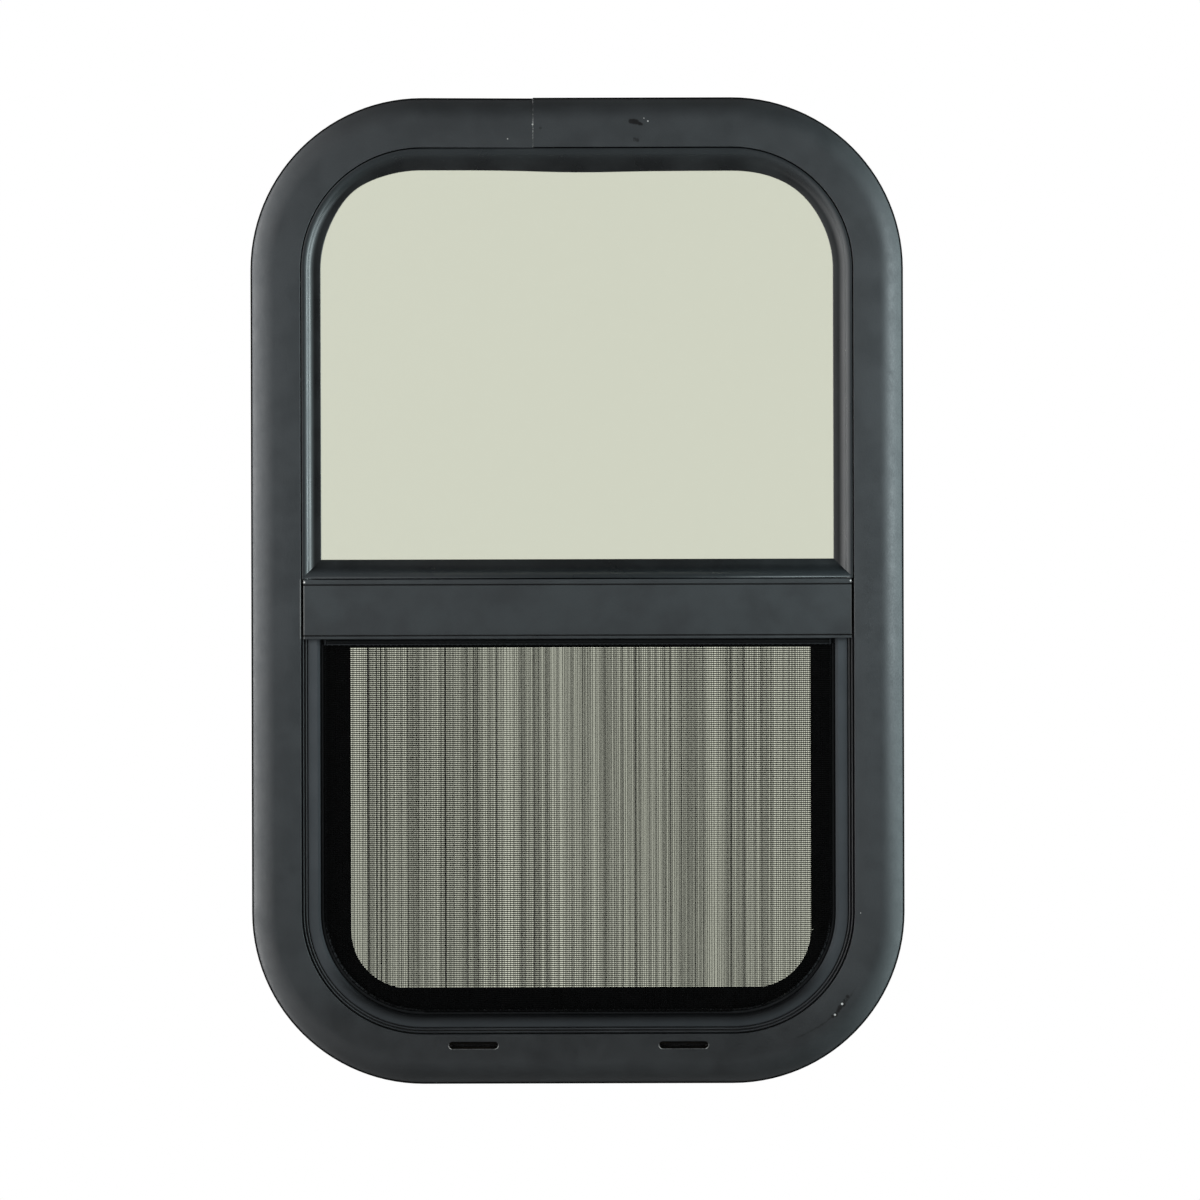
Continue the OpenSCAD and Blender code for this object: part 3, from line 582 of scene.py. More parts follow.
def bisect_off(piece, point, normal):
    """Cuts off all that lies on the normal's side of a plane, and closes the cut."""
    bpy.context.view_layer.objects.active = piece
    bpy.ops.object.mode_set(mode="EDIT")
    bpy.ops.mesh.select_all(action="SELECT")
    bpy.ops.mesh.bisect(plane_co=point, plane_no=normal, use_fill=True, clear_outer=True)
    bpy.ops.object.mode_set(mode="OBJECT")


def straight(name, start, stop, *outlines):
    """Draws a section in y and z at x = start and draws it out to x = stop."""
    piece = new_piece(name)
    for line in outlines:
        draw([Vector((start, y, z)) * MM for y, z in line])
    fill_section()
    bpy.ops.mesh.extrude_region_move(TRANSFORM_OT_translate={"value": ((stop - start) * MM, 0, 0)})
    return close_piece(piece)


side_seal = carry_round("glazing_seal", "right", SEAL_BASE_Z, 2, SEAL_BASE_Z, seal_outline)
bpy.ops.object.mode_set(mode="EDIT")
bpy.ops.mesh.select_mode(type="EDGE")
bpy.ops.mesh.select_all(action="DESELECT")
bpy.ops.object.mode_set(mode="OBJECT")
for edge in side_seal.data.edges:
    ends = [side_seal.data.vertices[k].co for k in edge.vertices]
    top_run = min(ends[0].z, ends[1].z) > HIGH_BEND * MM
    edge.select = top_run and (ends[0] - ends[1]).length > 100 * MM
bpy.ops.object.mode_set(mode="EDIT")
bpy.ops.mesh.subdivide(number_cuts=15)
bpy.ops.mesh.select_mode(type="VERT")
bpy.ops.object.mode_set(mode="OBJECT")
# Over the top the seal's toe hangs down a little, most at the middle, and is tucked up in the bends.
for vertex in side_seal.data.vertices:
    x, z = vertex.co.x / MM, vertex.co.z / MM
    depth = TOP - z if abs(x) < BEND_X else CORNER_R - math.hypot(abs(x) - BEND_X, z - HIGH_BEND)
    if z > HIGH_BEND and depth > HANG_U:
        upright = min(1, (z - HIGH_BEND) / (CORNER_R - depth))
        off_middle = math.degrees(math.acos(upright)) - 45
        rightward = min(1, max(0, (x + 30) / 90))
        sag = (TOE_SAG + TOE_SAG_RIGHT * rightward) * upright**10
        sag += TOE_SAG_MIDDLE * math.exp(-(x / 38) ** 2)
        tuck = (TOE_TUCK_LEFT if x < 0 else TOE_TUCK_RIGHT) * math.exp(-((off_middle / 16) ** 2))
        vertex.co.z -= (sag - tuck) * min(1, (depth - HANG_U) / 4) * MM
rail_seal = straight("glazing_seal_rail", -HALF_W + SEAL_U, HALF_W - SEAL_U,
                     [(y, SEAL_BASE_Z + (u - SEAL_U) * 0.98 - (0.3 if y > -5 and u < SEAL_U + 0.3 else 0))
                      for u, y in seal_outline])
for side in (-1, 1):
    corner = Vector((side * (HALF_W - SEAL_U), 0, SEAL_BASE_Z)) * MM
    slope = Vector((side, 0, 1)).normalized()
    bisect_off(rail_seal, corner - slope * MITRE_GAP * MM, slope)

# The last colour is the painted highlight on the seal's crest.
seal_rubber = moulded_rubber("satin black EPDM glazing seal, extruded", "#121415", "#191c1d", 0.3, "#272b2d")
dress(side_seal, seal_rubber, "seal_rubber", "upper_seal")
dress(rail_seal, seal_rubber, "seal_rubber", "upper_seal_bottom")

# Meeting rail: a hollow aluminium extrusion cut square to length between the lips and coated black,
# with a fine groove along the top and the foot of its flat face, a rear upstand for the pane and a
# pocket for the screen's top bar.
RAIL_FACE = -PROUD + 1
RAIL_HALF = rail_high.x / MM - 1.2
GROOVE = 0.75
GROOVE_BACK = RAIL_FACE + 1.3
UPPER_EDGE = RAIL_TOP - 2.9
LOWER_EDGE = RAIL_LOW + 1.7
WEB_BACK = RAIL_FACE + SKIN
POCKET_TOP = RAIL_LOW + 9.3
UPSTAND_TOP = RAIL_TOP + 8.5
REAR_Y = 1.5
rail_outline = outline(
    (RAIL_FACE, RAIL_TOP, 0.5), (RAIL_FACE, UPPER_EDGE, 0.25), (GROOVE_BACK, UPPER_EDGE, 0),
    (GROOVE_BACK, UPPER_EDGE - GROOVE, 0), (RAIL_FACE, UPPER_EDGE - GROOVE, 0.25),
    (RAIL_FACE, LOWER_EDGE + GROOVE, 0.25), (GROOVE_BACK, LOWER_EDGE + GROOVE, 0),
    (GROOVE_BACK, LOWER_EDGE, 0), (RAIL_FACE, LOWER_EDGE, 0.25), (RAIL_FACE, RAIL_LOW, 0.4),
    (WEB_BACK, RAIL_LOW, 0.3), (WEB_BACK, POCKET_TOP, 0), (REAR_Y, POCKET_TOP, 0),
    (REAR_Y, RAIL_LOW, 0.2), (2 * REAR_Y, RAIL_LOW, 0.2), (2 * REAR_Y, UPSTAND_TOP, 0.2),
    (REAR_Y, UPSTAND_TOP, 0.2), (REAR_Y, RAIL_TOP, 0))
rail_hollow = outline(
    (WEB_BACK, POCKET_TOP + SKIN, 0), (WEB_BACK, RAIL_TOP - SKIN, 0), (REAR_Y, RAIL_TOP - SKIN, 0),
    (REAR_Y, POCKET_TOP + SKIN, 0))
rail = straight("meeting_rail_extrusion", -RAIL_HALF, RAIL_HALF, rail_outline, rail_hollow)
NOTCH_W = 8.5
for side in (-1, 1):
    bpy.ops.object.select_all(action="DESELECT")
    bpy.ops.mesh.primitive_cube_add(size=1, location=(side * (RAIL_HALF - NOTCH_W / 2 + 1) * MM, 2.2 * MM,
                                                      (RAIL_LOW + RAIL_TOP) / 2 * MM),
                                    scale=((NOTCH_W + 2) * MM, 2 * MM, 60 * MM))
    notch = bpy.context.object
    bpy.ops.object.transform_apply(location=True, rotation=True, scale=True)
    cut_out(rail, notch)


def rail_marks(tree, place):
    """Painted highlights along the rail's two sawn ends, partly their bare cut edges, stronger on the left,
    with a pale spot at the top of each end; painted shade in the face grooves and on the cut end faces.
    """
    x, y, z = millimetres(tree, place)
    off_end = add(tree, "Math", (RAIL_HALF, away(tree, x, 0)), operation="SUBTRACT")
    off_grooves = add(tree, "Math", (away(tree, z, UPPER_EDGE - GROOVE / 2),
                                     away(tree, z, LOWER_EDGE + GROOVE / 2)), operation="MINIMUM")
    # Painted shade: the face grooves and the cut end faces are darkened to black.
    soot_and_shade = heaviest(tree, fades(tree, (off_grooves, GROOVE / 2 + 0.12, GROOVE / 2 - 0.05)),
                    fades(tree, (y, RAIL_FACE + 0.15, RAIL_FACE + 0.5), (off_end, 0.5, 0.2)))
    # Painted highlight along the sawn ends, stronger on the left, with a pale spot at each end's top.
    chip_and_highlight = heaviest(tree, fades(tree, (off_end, 0.8, 0.3), (x, 0, -1, 0.05, 0.18)),
                    spot(tree, place, RAIL_HALF - 0.5, RAIL_TOP - 1.4, 0.7),
                    spot(tree, place, 0.5 - RAIL_HALF, RAIL_TOP - 1.6, 0.7))
    clean = add(tree, "Math", (1, soot_and_shade), operation="SUBTRACT")
    return soot_and_shade, add(tree, "Math", (chip_and_highlight, clean), operation="MULTIPLY")


rail_coat = powder_coat("satin black powder coat on the rail", "#272a2c", "#2e3234", rail_marks)
dress(rail, rail_coat, "rail_black", "meeting_rail")


# Brush seal: a strip of polypropylene pile that wipes the sliding pane. It is slid into the rail's
# back from one end.
def pile_weave(name):
    """Polypropylene pile: upright fibres in dense rows, matt black with paler tips."""
    material, tree = new_material(name)
    place = add(tree, "TexCoord").outputs["Object"]
    strands = add(tree, "Mapping", {"Vector": place, "Scale": (3000, 300, 600)})
    fibre = add(tree, "TexNoise", {"Vector": strands, "Scale": 1, "Detail": 2})
    colour = add(tree, "Mix", (fibre, linear("#0c0c0c"), linear("#363636")), data_type="RGBA")
    bump = add(tree, "Bump", {"Height": fibre, "Strength": 0.6, "Distance": 0.0003})
    shader = add(tree, "BsdfPrincipled", {"Base Color": colour, "Roughness": 0.9, "Normal": bump})
    add(tree, "OutputMaterial", {"Surface": shader})
    return material


dress_node("rail_pile", pile_weave("black polypropylene pile"))

# Screen gasket: a soft rubber length with fine round ribs, pressed in between the frame's lip and
# the screen frame, down both sides and round the bottom. The real ribs are too fine for the
# render, so two wider ones stand for three.
SCREEN_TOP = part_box("screen_frame")[1].z / MM
GASKET_U = LIP_U + 0.15
GASKET_W = 3.8
SCREEN_Y = -7.5
SCREEN_BACK = 1.2
RIB_R = 0.55
RIB_Y = SCREEN_Y + 0.6
RIB_FOOT = RIB_Y + 1.6
ribs = []
for middle_u in (GASKET_U + 0.95, GASKET_U + 2.75):
    ribs += [(middle_u - RIB_R, RIB_FOOT, 0), *arc((middle_u, RIB_Y), RIB_R, 180, 360, 8),
             (middle_u + RIB_R, RIB_FOOT, 0)]
gasket_outline = outline((GASKET_U, RIB_FOOT, 0), *ribs, (GASKET_U + GASKET_W, RIB_FOOT, 0),
                         (GASKET_U + GASKET_W, SCREEN_BACK, 0), (GASKET_U, SCREEN_BACK, 0))
gasket = carry_round("screen_gasket_ribs", "left", SCREEN_TOP, 2, SCREEN_TOP, gasket_outline)
dress(gasket, moulded_rubber("matt black ribbed rubber gasket", "#26282a", "#303234", 0.5), "seal_rubber",
      "screen_gasket")

# Insect screen frame: aluminium strip rolled to a closed tube with a sloped shoulder and a groove
# for the mesh, bent round the lower corners and coated black. The top bar is a straight length
# of the same section that sits up in the rail's pocket.
SCREEN_U = 34.7
TUBE_U = 40.6
GROOVE_U = 42
LEG_U = 44.5
SCREEN_IN = 45.6
LEG_Y = -5.1
FLOOR_Y = -2.5
screen_outline = outline(
    (SCREEN_U, SCREEN_Y, 0.45), (TUBE_U, SCREEN_Y, 0.7), (GROOVE_U, LEG_Y, 0.6), (GROOVE_U, FLOOR_Y, 0),
    (LEG_U, FLOOR_Y, 0), (LEG_U, LEG_Y, 0.2), (SCREEN_IN, LEG_Y, 0.2), (SCREEN_IN, FLOOR_Y + 1, 0.3),
    (TUBE_U, FLOOR_Y + 1, 0), (TUBE_U, SCREEN_BACK, 0.3), (SCREEN_U, SCREEN_BACK, 0.3))


def screen_marks(tree, place):
    """Painted shade on the screen frame's inner slope, leg and top bar, heaviest along the bottom, and one
    pale chipped spot.
    """
    x, y, z = millimetres(tree, place)
    u = inset(tree, x, z)
    # Painted shade: the inner slope, the leg and the top bar are darkened, more so along the bottom.
    painted_shade_along_foot = fades(tree, (u, 35, 41.5, 0.25, 0.98), (z, 75, 40))
    soot_and_shade = heaviest(tree, fades(tree, (u, 41.5, 43.5, 0, 0.7)), painted_shade_along_foot)
    return soot_and_shade, spot(tree, place, 152.2, 200, 0.3)


screen_coat = powder_coat("satin black powder coat on the screen frame", "#43474a", "#484c4f",
                          screen_marks, rough=0.75, shine=0.15)
screen_tube = carry_round("screen_frame_tube", "left", SCREEN_TOP, 2, SCREEN_TOP, screen_outline)
dress(screen_tube, screen_coat, "screen_black", "screen_frame")
BAR_HALF = HALF_W - SCREEN_IN - 0.3
top_bar = straight("screen_top_bar_tube", -BAR_HALF, BAR_HALF,
                   [(y, SCREEN_TOP + SCREEN_U - u) for u, y in screen_outline])
dress(top_bar, screen_coat, "screen_black", "screen_top_bar")

# Spline: a round rubber cord rolled into the groove over the mesh's edge. One length goes down both
# sides and round the foot, a straight one lies along the top.
SPLINE_R = 1.24
SPLINE_MID = ((GROOVE_U + LEG_U) / 2, LEG_Y + 1.25)
SPLINE_TOP = SCREEN_TOP + SCREEN_U - LEG_U - 0.3
spline_outline = outline(*arc(SPLINE_MID, SPLINE_R, 0, 337.5, 15))
spline = carry_round("screen_spline_cord", "left", SPLINE_TOP, 2, SPLINE_TOP, spline_outline)
spline_rubber = moulded_rubber("black rubber spline, extruded", "#101112", "#1a1b1c", 0.8, shine=0.15)
dress(spline, spline_rubber, "seal_rubber", "screen_spline")
top_spline = straight("screen_spline_top", -BAR_HALF, BAR_HALF,
                      [(y, SCREEN_TOP + SCREEN_U - u) for u, y in spline_outline])
dress(top_spline, spline_rubber, "seal_rubber")

# Mesh: insect screen woven from vinyl-coated glass yarn. The upright threads are taut and lie in
# pairs; the level ones wave over and under them by turns. The upright threads have drifted,
# which makes the pale and dark bars. The real threads are finer; these are coarser so they show.
WEFT_PITCH = 1.22
WARP_PITCH = 0.8
WARP_W = 0.33
WEFT_W = 0.56
STRAIGHT_RUN = 3
THREAD_T = 0.24
CRIMP = 0.2
MESH_Y = LEG_Y - 0.2
MESH_EDGE_U = LEG_U - 0.4
mesh_half = HALF_W - MESH_EDGE_U
mesh_bottom = BOTTOM + MESH_EDGE_U
mesh_top = SCREEN_TOP + SCREEN_U - MESH_EDGE_U


def thread_grid(name, width, along, pitch_along, count_along, pitch_across, count_across):
    """A flat set of parallel three-sided threads: one stitch, repeated along and then across."""
    bpy.ops.object.select_all(action="DESELECT")
    bpy.ops.mesh.primitive_circle_add(vertices=3, radius=MM, fill_type="NOTHING")
    threads = bpy.context.object
    threads.name = name
    threads.data.name = name
    bpy.ops.object.mode_set(mode="EDIT")
    bpy.ops.mesh.select_all(action="SELECT")
    bpy.ops.transform.resize(value=(width / math.sqrt(3), THREAD_T / 1.5, 1))
    if along == "x":
        bpy.ops.transform.rotate(value=math.pi / 2, orient_axis="Y", center_override=(0, 0, 0))
    step = Vector((pitch_along, 0, 0) if along == "x" else (0, 0, pitch_along)) * MM
    aside = Vector((0, 0, pitch_across) if along == "x" else (pitch_across, 0, 0)) * MM
    bpy.ops.mesh.extrude_region_move(TRANSFORM_OT_translate={"value": step})
    bpy.ops.object.mode_set(mode="OBJECT")
    for offset, count, merge in ((step, count_along, True), (aside, count_across, False)):
        rows = threads.modifiers.new("rows", "ARRAY")
        rows.count = count
        rows.use_relative_offset = False
        rows.use_constant_offset = True
        rows.constant_offset_displace = offset
        rows.use_merge_vertices = merge
        rows.merge_threshold = 1e-6
        bpy.ops.object.modifier_apply(modifier=rows.name)
    return threads


pair_count = int(mesh_half / WARP_PITCH)
weft_count = int((mesh_top - mesh_bottom) / WEFT_PITCH)
weave = random.Random(271)
sway = [weave.gauss(0, 1) for k in range(2 * pair_count + 8)]
gaps = [math.exp(0.34 * sum(sway[k:k + 3]) / 1.7 + 0.2 * sway[k + 5]) for k in range(2 * pair_count + 2)]
warp_x = np.cumsum(gaps)
warp_x = (warp_x - warp_x[0]) / (warp_x[-1] - warp_x[0]) * 2 * mesh_half - mesh_half
pair_x = (warp_x[::2] + warp_x[1::2]) / 2


def weave_threads(threads, pitch, thread_x, first_row, crimp):
    """Moves the flat grid's threads to their places, over and under by turns, and cuts off what
    lies outside the groove round the lower corners."""
    mesh = threads.data
    place = np.empty(len(mesh.vertices) * 3)
    mesh.vertices.foreach_get("co", place)
    place = place.reshape(-1, 3) / MM
    column = np.rint(place[:, 0] / pitch).astype(int)
    place[:, 0] += thread_x[column] - column * pitch
    place[:, 2] += mesh_bottom + first_row * WEFT_PITCH
    place[:, 1] += MESH_Y + crimp * np.where(column % 2 == 0, 1, -1)
    mesh.vertices.foreach_set("co", (place * MM).ravel())
    past_x = np.abs(place[:, 0]) - BEND_X
    past_z = LOW_BEND - place[:, 2]
    outside = (past_x > 0) & (past_z > 0) & (np.hypot(past_x, past_z) > CORNER_R - MESH_EDGE_U)
    outside |= np.abs(place[:, 0]) > mesh_half
    bpy.ops.object.select_all(action="DESELECT")
    threads.select_set(True)
    bpy.context.view_layer.objects.active = threads
    bpy.ops.object.mode_set(mode="EDIT")
    bpy.ops.mesh.select_all(action="DESELECT")
    bpy.ops.object.mode_set(mode="OBJECT")
    mesh.vertices.foreach_set("select", outside)
    bpy.ops.object.mode_set(mode="EDIT")
    bpy.ops.mesh.delete(type="VERT")
    bpy.ops.mesh.select_all(action="SELECT")
    bpy.ops.mesh.fill_holes(sides=3)
    bpy.ops.mesh.select_all(action="SELECT")
    bpy.ops.mesh.normals_make_consistent(inside=False)
    bpy.ops.object.mode_set(mode="OBJECT")
    bpy.ops.object.shade_smooth()


warp = thread_grid("screen_mesh_warp", WARP_W, "z", STRAIGHT_RUN * WEFT_PITCH, weft_count // STRAIGHT_RUN,
                   WARP_PITCH, 2 * pair_count + 1)
weave_threads(warp, WARP_PITCH, warp_x, 0, 0)
wefts = []
for first_row in (0, 1):
    weft = thread_grid(f"screen_mesh_weft_{first_row}", WEFT_W, "x", 2 * WARP_PITCH, pair_count,
                       2 * WEFT_PITCH, (weft_count - first_row + 1) // 2)
    weave_threads(weft, 2 * WARP_PITCH, pair_x, first_row, CRIMP if first_row else -CRIMP)
    wefts.append(weft)


def glass_yarn(name):
    """Glass yarn in black vinyl: matt, almost black, slightly dusty."""
    material, tree = new_material(name)
    place = add(tree, "TexCoord").outputs["Object"]
    dust = add(tree, "TexNoise", {"Vector": place, "Scale": 160, "Detail": 3})
    colour = add(tree, "Mix", (dust, linear("#020202"), linear("#060606")), data_type="RGBA")
    gloss = fades(tree, (dust, 0.3, 0.7, 0.8, 0.95))
    shader = add(tree, "BsdfPrincipled", {"Base Color": colour, "Roughness": gloss,
                                          "Specular IOR Level": 0.06})
    add(tree, "OutputMaterial", {"Surface": shader})
    return material


yarn = glass_yarn("black vinyl coated glass yarn, woven")
dress(warp, yarn, "mesh_weave", "screen_mesh")
for weft in wefts:
    dress(weft, yarn, "mesh_weave")


# Weep baffles: small shields of black nylon behind the two weep slots, moulded in one piece each,
# with old brown dust on them.
def moulded_plastic(name, code, lighter, rough, shine=0.5):
    """Injection-moulded nylon: fine spark texture, satin, with dust lying in it."""
    material, tree = new_material(name)
    place = add(tree, "TexCoord").outputs["Object"]
    spark = add(tree, "TexNoise", {"Vector": place, "Scale": 900, "Detail": 3})
    dust = add(tree, "TexNoise", {"Vector": place, "Scale": 90, "Detail": 3})
    dusty = fades(tree, (dust, 0.35, 0.7))
    colour = add(tree, "Mix", (dusty, linear(code), linear(lighter)), data_type="RGBA")
    gloss = fades(tree, (spark, 0.3, 0.7, rough - 0.05, rough + 0.08))
    bump = add(tree, "Bump", {"Height": spark, "Strength": 0.25, "Distance": 0.0001})
    shader = add(tree, "BsdfPrincipled", {"Base Color": colour, "Roughness": gloss, "Normal": bump,
                                          "Specular IOR Level": shine})
    add(tree, "OutputMaterial", {"Surface": shader})
    return material


baffle_nylon = moulded_plastic("dusty brown-black nylon, moulded", "#040403", "#16110b", 0.8, 0.1)
dress_node("weep_baffles", baffle_nylon)

# Sliding pane: the same tinted glass with a printed black border on its outer face, a channel
# along its top edge, a pull rail bonded to its foot and a spring latch at each side.
sash_low, sash_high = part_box("sash_glass")
SASH_HALF = sash_high.x / MM
SASH_LOW = sash_low.z / MM
SASH_TOP = sash_high.z / MM
SASH_Y = sash_low.y / MM
SASH_BACK = sash_high.y / MM
SASH_R = CORNER_R - (HALF_W - SASH_HALF)
PRINT_T = 0.04
WINDOW_X = 1.66
WINDOW_HALF = 140.3
WINDOW_LOW = 47.45
WINDOW_TOP = 255.7
WINDOW_R = 35
WINDOW_LEFT = WINDOW_X - WINDOW_HALF
WINDOW_RIGHT = WINDOW_X + WINDOW_HALF
NICK_W = 1.3
NICK_LOW = 82.6
NICK_HIGH = 83.3
print_edge = outline(
    (-SASH_HALF + 0.5, SASH_TOP - 0.5, 0),
    *arc((-SASH_HALF + SASH_R, SASH_LOW + SASH_R), SASH_R - 0.5, 180, 270, 20),
    *arc((SASH_HALF - SASH_R, SASH_LOW + SASH_R), SASH_R - 0.5, 270, 360, 20),
    (SASH_HALF - 0.5, SASH_TOP - 0.5, 0))
print_window = outline(
    (WINDOW_LEFT, WINDOW_TOP, 0),
    *arc((WINDOW_LEFT + WINDOW_R, WINDOW_LOW + WINDOW_R), WINDOW_R, 180, 270, 14),
    *arc((WINDOW_RIGHT - WINDOW_R, WINDOW_LOW + WINDOW_R), WINDOW_R, 270, 360, 14),
    (WINDOW_RIGHT, NICK_LOW, 0), (WINDOW_RIGHT + NICK_W, NICK_LOW, 0),
    (WINDOW_RIGHT + NICK_W, NICK_HIGH, 0), (WINDOW_RIGHT, NICK_HIGH, 0),
    (WINDOW_RIGHT, WINDOW_TOP, 0))
border = new_piece("sash_printed_border")
for line in (print_edge, print_window):
    draw([Vector((x, SASH_Y - 0.01, z)) * MM for x, z in line])
fill_section()
bpy.ops.mesh.extrude_region_move(TRANSFORM_OT_translate={"value": (0, -PRINT_T * MM, 0)})
close_piece(border)


def ceramic_print(name):
    """Black ceramic ink fired on to glass: smooth and deep black, in places a little hazy."""
    material, tree = new_material(name)
    place = add(tree, "TexCoord").outputs["Object"]
    haze = add(tree, "TexNoise", {"Vector": place, "Scale": 120, "Detail": 2})
    colour = add(tree, "Mix", (haze, linear("#030303"), linear("#080808")), data_type="RGBA")
    gloss = fades(tree, (haze, 0.3, 0.7, 0.22, 0.32))
    shader = add(tree, "BsdfPrincipled", {"Base Color": colour, "Roughness": gloss,
                                          "Specular IOR Level": 0.3})
    add(tree, "OutputMaterial", {"Surface": shader})
    return material


dress(border, ceramic_print("black fired ceramic print"), "tinted_glass")

black_nylon = moulded_plastic("black nylon, moulded", "#141516", "#1e2021", 0.45)
channel_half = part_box("sash_top_rail")[1].x / MM
CHANNEL_T = 1.1
CHANNEL_LOW = SASH_TOP - 13
CHANNEL_HIGH = SASH_TOP + 1.5
HOOK_D = 7
HOOK_H = 5
HOOK_T = 1.5
channel_y0 = SASH_Y - CHANNEL_T
channel_y1 = SASH_BACK + CHANNEL_T
hook_y = channel_y1 + HOOK_D
channel_outline = outline(
    (channel_y0, CHANNEL_HIGH, 0.5), (channel_y0, CHANNEL_LOW, 0.3), (SASH_Y, CHANNEL_LOW, 0.2),
    (SASH_Y, SASH_TOP, 0), (SASH_BACK, SASH_TOP, 0), (SASH_BACK, CHANNEL_LOW, 0.2),
    (hook_y, CHANNEL_LOW, 0.5), (hook_y, CHANNEL_LOW + HOOK_H, 0.5),
    (hook_y - HOOK_T, CHANNEL_LOW + HOOK_H, 0.5), (hook_y - HOOK_T, CHANNEL_LOW + HOOK_T, 0.3),
    (channel_y1, CHANNEL_LOW + HOOK_T, 0.3), (channel_y1, CHANNEL_HIGH, 0.5))
channel = straight("sash_top_channel", -channel_half, channel_half, channel_outline)
channel_coat = powder_coat("satin black powder coat on the sash channel", "#25282a", "#2c3031")
dress(channel, channel_coat, "rail_black", "sash_top_rail")

pull_low, pull_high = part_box("sash_pull_rail")
pull_y0, pull_y1 = pull_low.y / MM, pull_high.y / MM
pull_z0, pull_z1 = pull_low.z / MM, pull_high.z / MM
PULL_T = 2.6
PULL_LIP_T = 2.4
PULL_LIP_H = 4.2
pull_outline = outline(
    (pull_y0, pull_z0, 0.4), (pull_y0 + PULL_T, pull_z0, 0.9),
    (pull_y0 + PULL_T, pull_z1 - PULL_LIP_T, 1.2), (pull_y1 - PULL_LIP_T, pull_z1 - PULL_LIP_T, 0.4),
    (pull_y1 - PULL_LIP_T, pull_z1 - PULL_LIP_H, 0.5), (pull_y1, pull_z1 - PULL_LIP_H, 0.9),
    (pull_y1, pull_z1, 1.1), (pull_y0, pull_z1, 0.6))
pull = straight("sash_pull_bar", pull_low.x / MM, pull_high.x / MM, pull_outline)
dress(pull, black_nylon, "moulded_plastic", "sash_pull_rail")

latch_low, latch_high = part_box("sash_latches")
LATCH_W = 14
LATCH_H = (latch_high.z - latch_low.z) / MM
LATCH_FACE = SASH_BACK + (latch_high.y - latch_low.y) / MM
LATCH_Z = (latch_low.z + latch_high.z) / 2 / MM
LATCH_X = latch_high.x / MM - LATCH_W / 2
WINDOW_W = 6.4
BUTTON_H = 20
THUMB_HALF = 2.8
THUMB_DOWN = 9.6
THUMB_UP = 4.4
THUMB_RIBS = 5
RIB_HALF = 2.3
RIB_PITCH = 2.4
RIB_THICK = 1.1
RIB_TALL = 2.3
RIB_SHORT = 1.1


def box_piece(name, low, high, radius, segments=3):
    """A block between two corners, its edges all rounded."""
    bpy.ops.object.select_all(action="DESELECT")
    middle = [(a + b) / 2 * MM for a, b in zip(low, high)]
    size = [(b - a) * MM for a, b in zip(low, high)]
    bpy.ops.mesh.primitive_cube_add(size=1, location=middle, scale=size)
    piece = bpy.context.object
    piece.name = name
    piece.data.name = name
    bpy.ops.object.transform_apply(location=True, rotation=True, scale=True)
    if radius:
        bpy.ops.object.mode_set(mode="EDIT")
        bpy.ops.mesh.select_all(action="SELECT")
        bpy.ops.mesh.bevel(offset=radius * MM, segments=segments, affect="EDGES")
        bpy.ops.object.mode_set(mode="OBJECT")
    bpy.ops.object.shade_smooth_by_angle(angle=math.radians(40))
    return piece


def join(pieces, name):
    """Joins finished pieces into one."""
    bpy.ops.object.select_all(action="DESELECT")
    for piece in pieces:
        piece.select_set(True)
    bpy.context.view_layer.objects.active = pieces[0]
    bpy.ops.object.join()
    pieces[0].name = name
    pieces[0].data.name = name
    return pieces[0]


bodies, buttons = [], []
for side in (-1, 1):
    x = side * LATCH_X
    low = (x - LATCH_W / 2, SASH_BACK, LATCH_Z - LATCH_H / 2)
    high = (x + LATCH_W / 2, LATCH_FACE, LATCH_Z + LATCH_H / 2)
    body = box_piece("latch_body", low, high, 1.8)
    window = box_piece("latch_window", (x - WINDOW_W / 2, LATCH_FACE - 3, LATCH_Z - BUTTON_H / 2),
                       (x + WINDOW_W / 2, LATCH_FACE + 1, LATCH_Z + BUTTON_H / 2), 0.5, 2)
    cut_out(body, window)
    bodies.append(body)
    thumb = [box_piece("latch_thumb", (x - THUMB_HALF, LATCH_FACE - 2.9, LATCH_Z - THUMB_DOWN),
                       (x + THUMB_HALF, LATCH_FACE - 0.4, LATCH_Z + THUMB_UP), 0.5, 2)]
    for k in range(THUMB_RIBS):
        z = LATCH_Z - 7.5 + k * RIB_PITCH
        tall = RIB_SHORT if k in (0, THUMB_RIBS - 1) else RIB_TALL
        thumb.append(box_piece("latch_rib", (x - RIB_HALF, LATCH_FACE - 0.8, z),
                               (x + RIB_HALF, LATCH_FACE + tall, z + RIB_THICK), 0.35, 2))
    buttons.append(join(thumb, "latch_thumb"))
dress(join(bodies, "sash_latch_bodies"), black_nylon, "moulded_plastic", "sash_latches")
grey_nylon = moulded_plastic("dark grey nylon button, moulded", "#1d1f21", "#2a2c2e", 0.5)
dress(join(buttons, "sash_latch_buttons"), grey_nylon, "moulded_plastic", "latch_buttons")


# Latch bolts and their strips: turned and zinc-plated steel pins that spring into a row of holes in
# a strip of moulded nylon behind each track.
def plated_steel(name):
    """Zinc-plated steel, bright: pale blue-grey, clouded by handling."""
    material, tree = new_material(name)
    place = add(tree, "TexCoord").outputs["Object"]
    haze = add(tree, "TexNoise", {"Vector": place, "Scale": 500, "Detail": 3})
    colour = add(tree, "Mix", (haze, linear("#8d9193"), linear("#b4b7b8")), data_type="RGBA")
    gloss = fades(tree, (haze, 0.3, 0.7, 0.24, 0.4))
    shader = add(tree, "BsdfPrincipled", {"Base Color": colour, "Roughness": gloss, "Metallic": 1})
    add(tree, "OutputMaterial", {"Surface": shader})
    return material


steel = plated_steel("bright zinc plated steel")
dress_node("latch_bolts", steel)
dress_node("catch_strips", black_nylon)

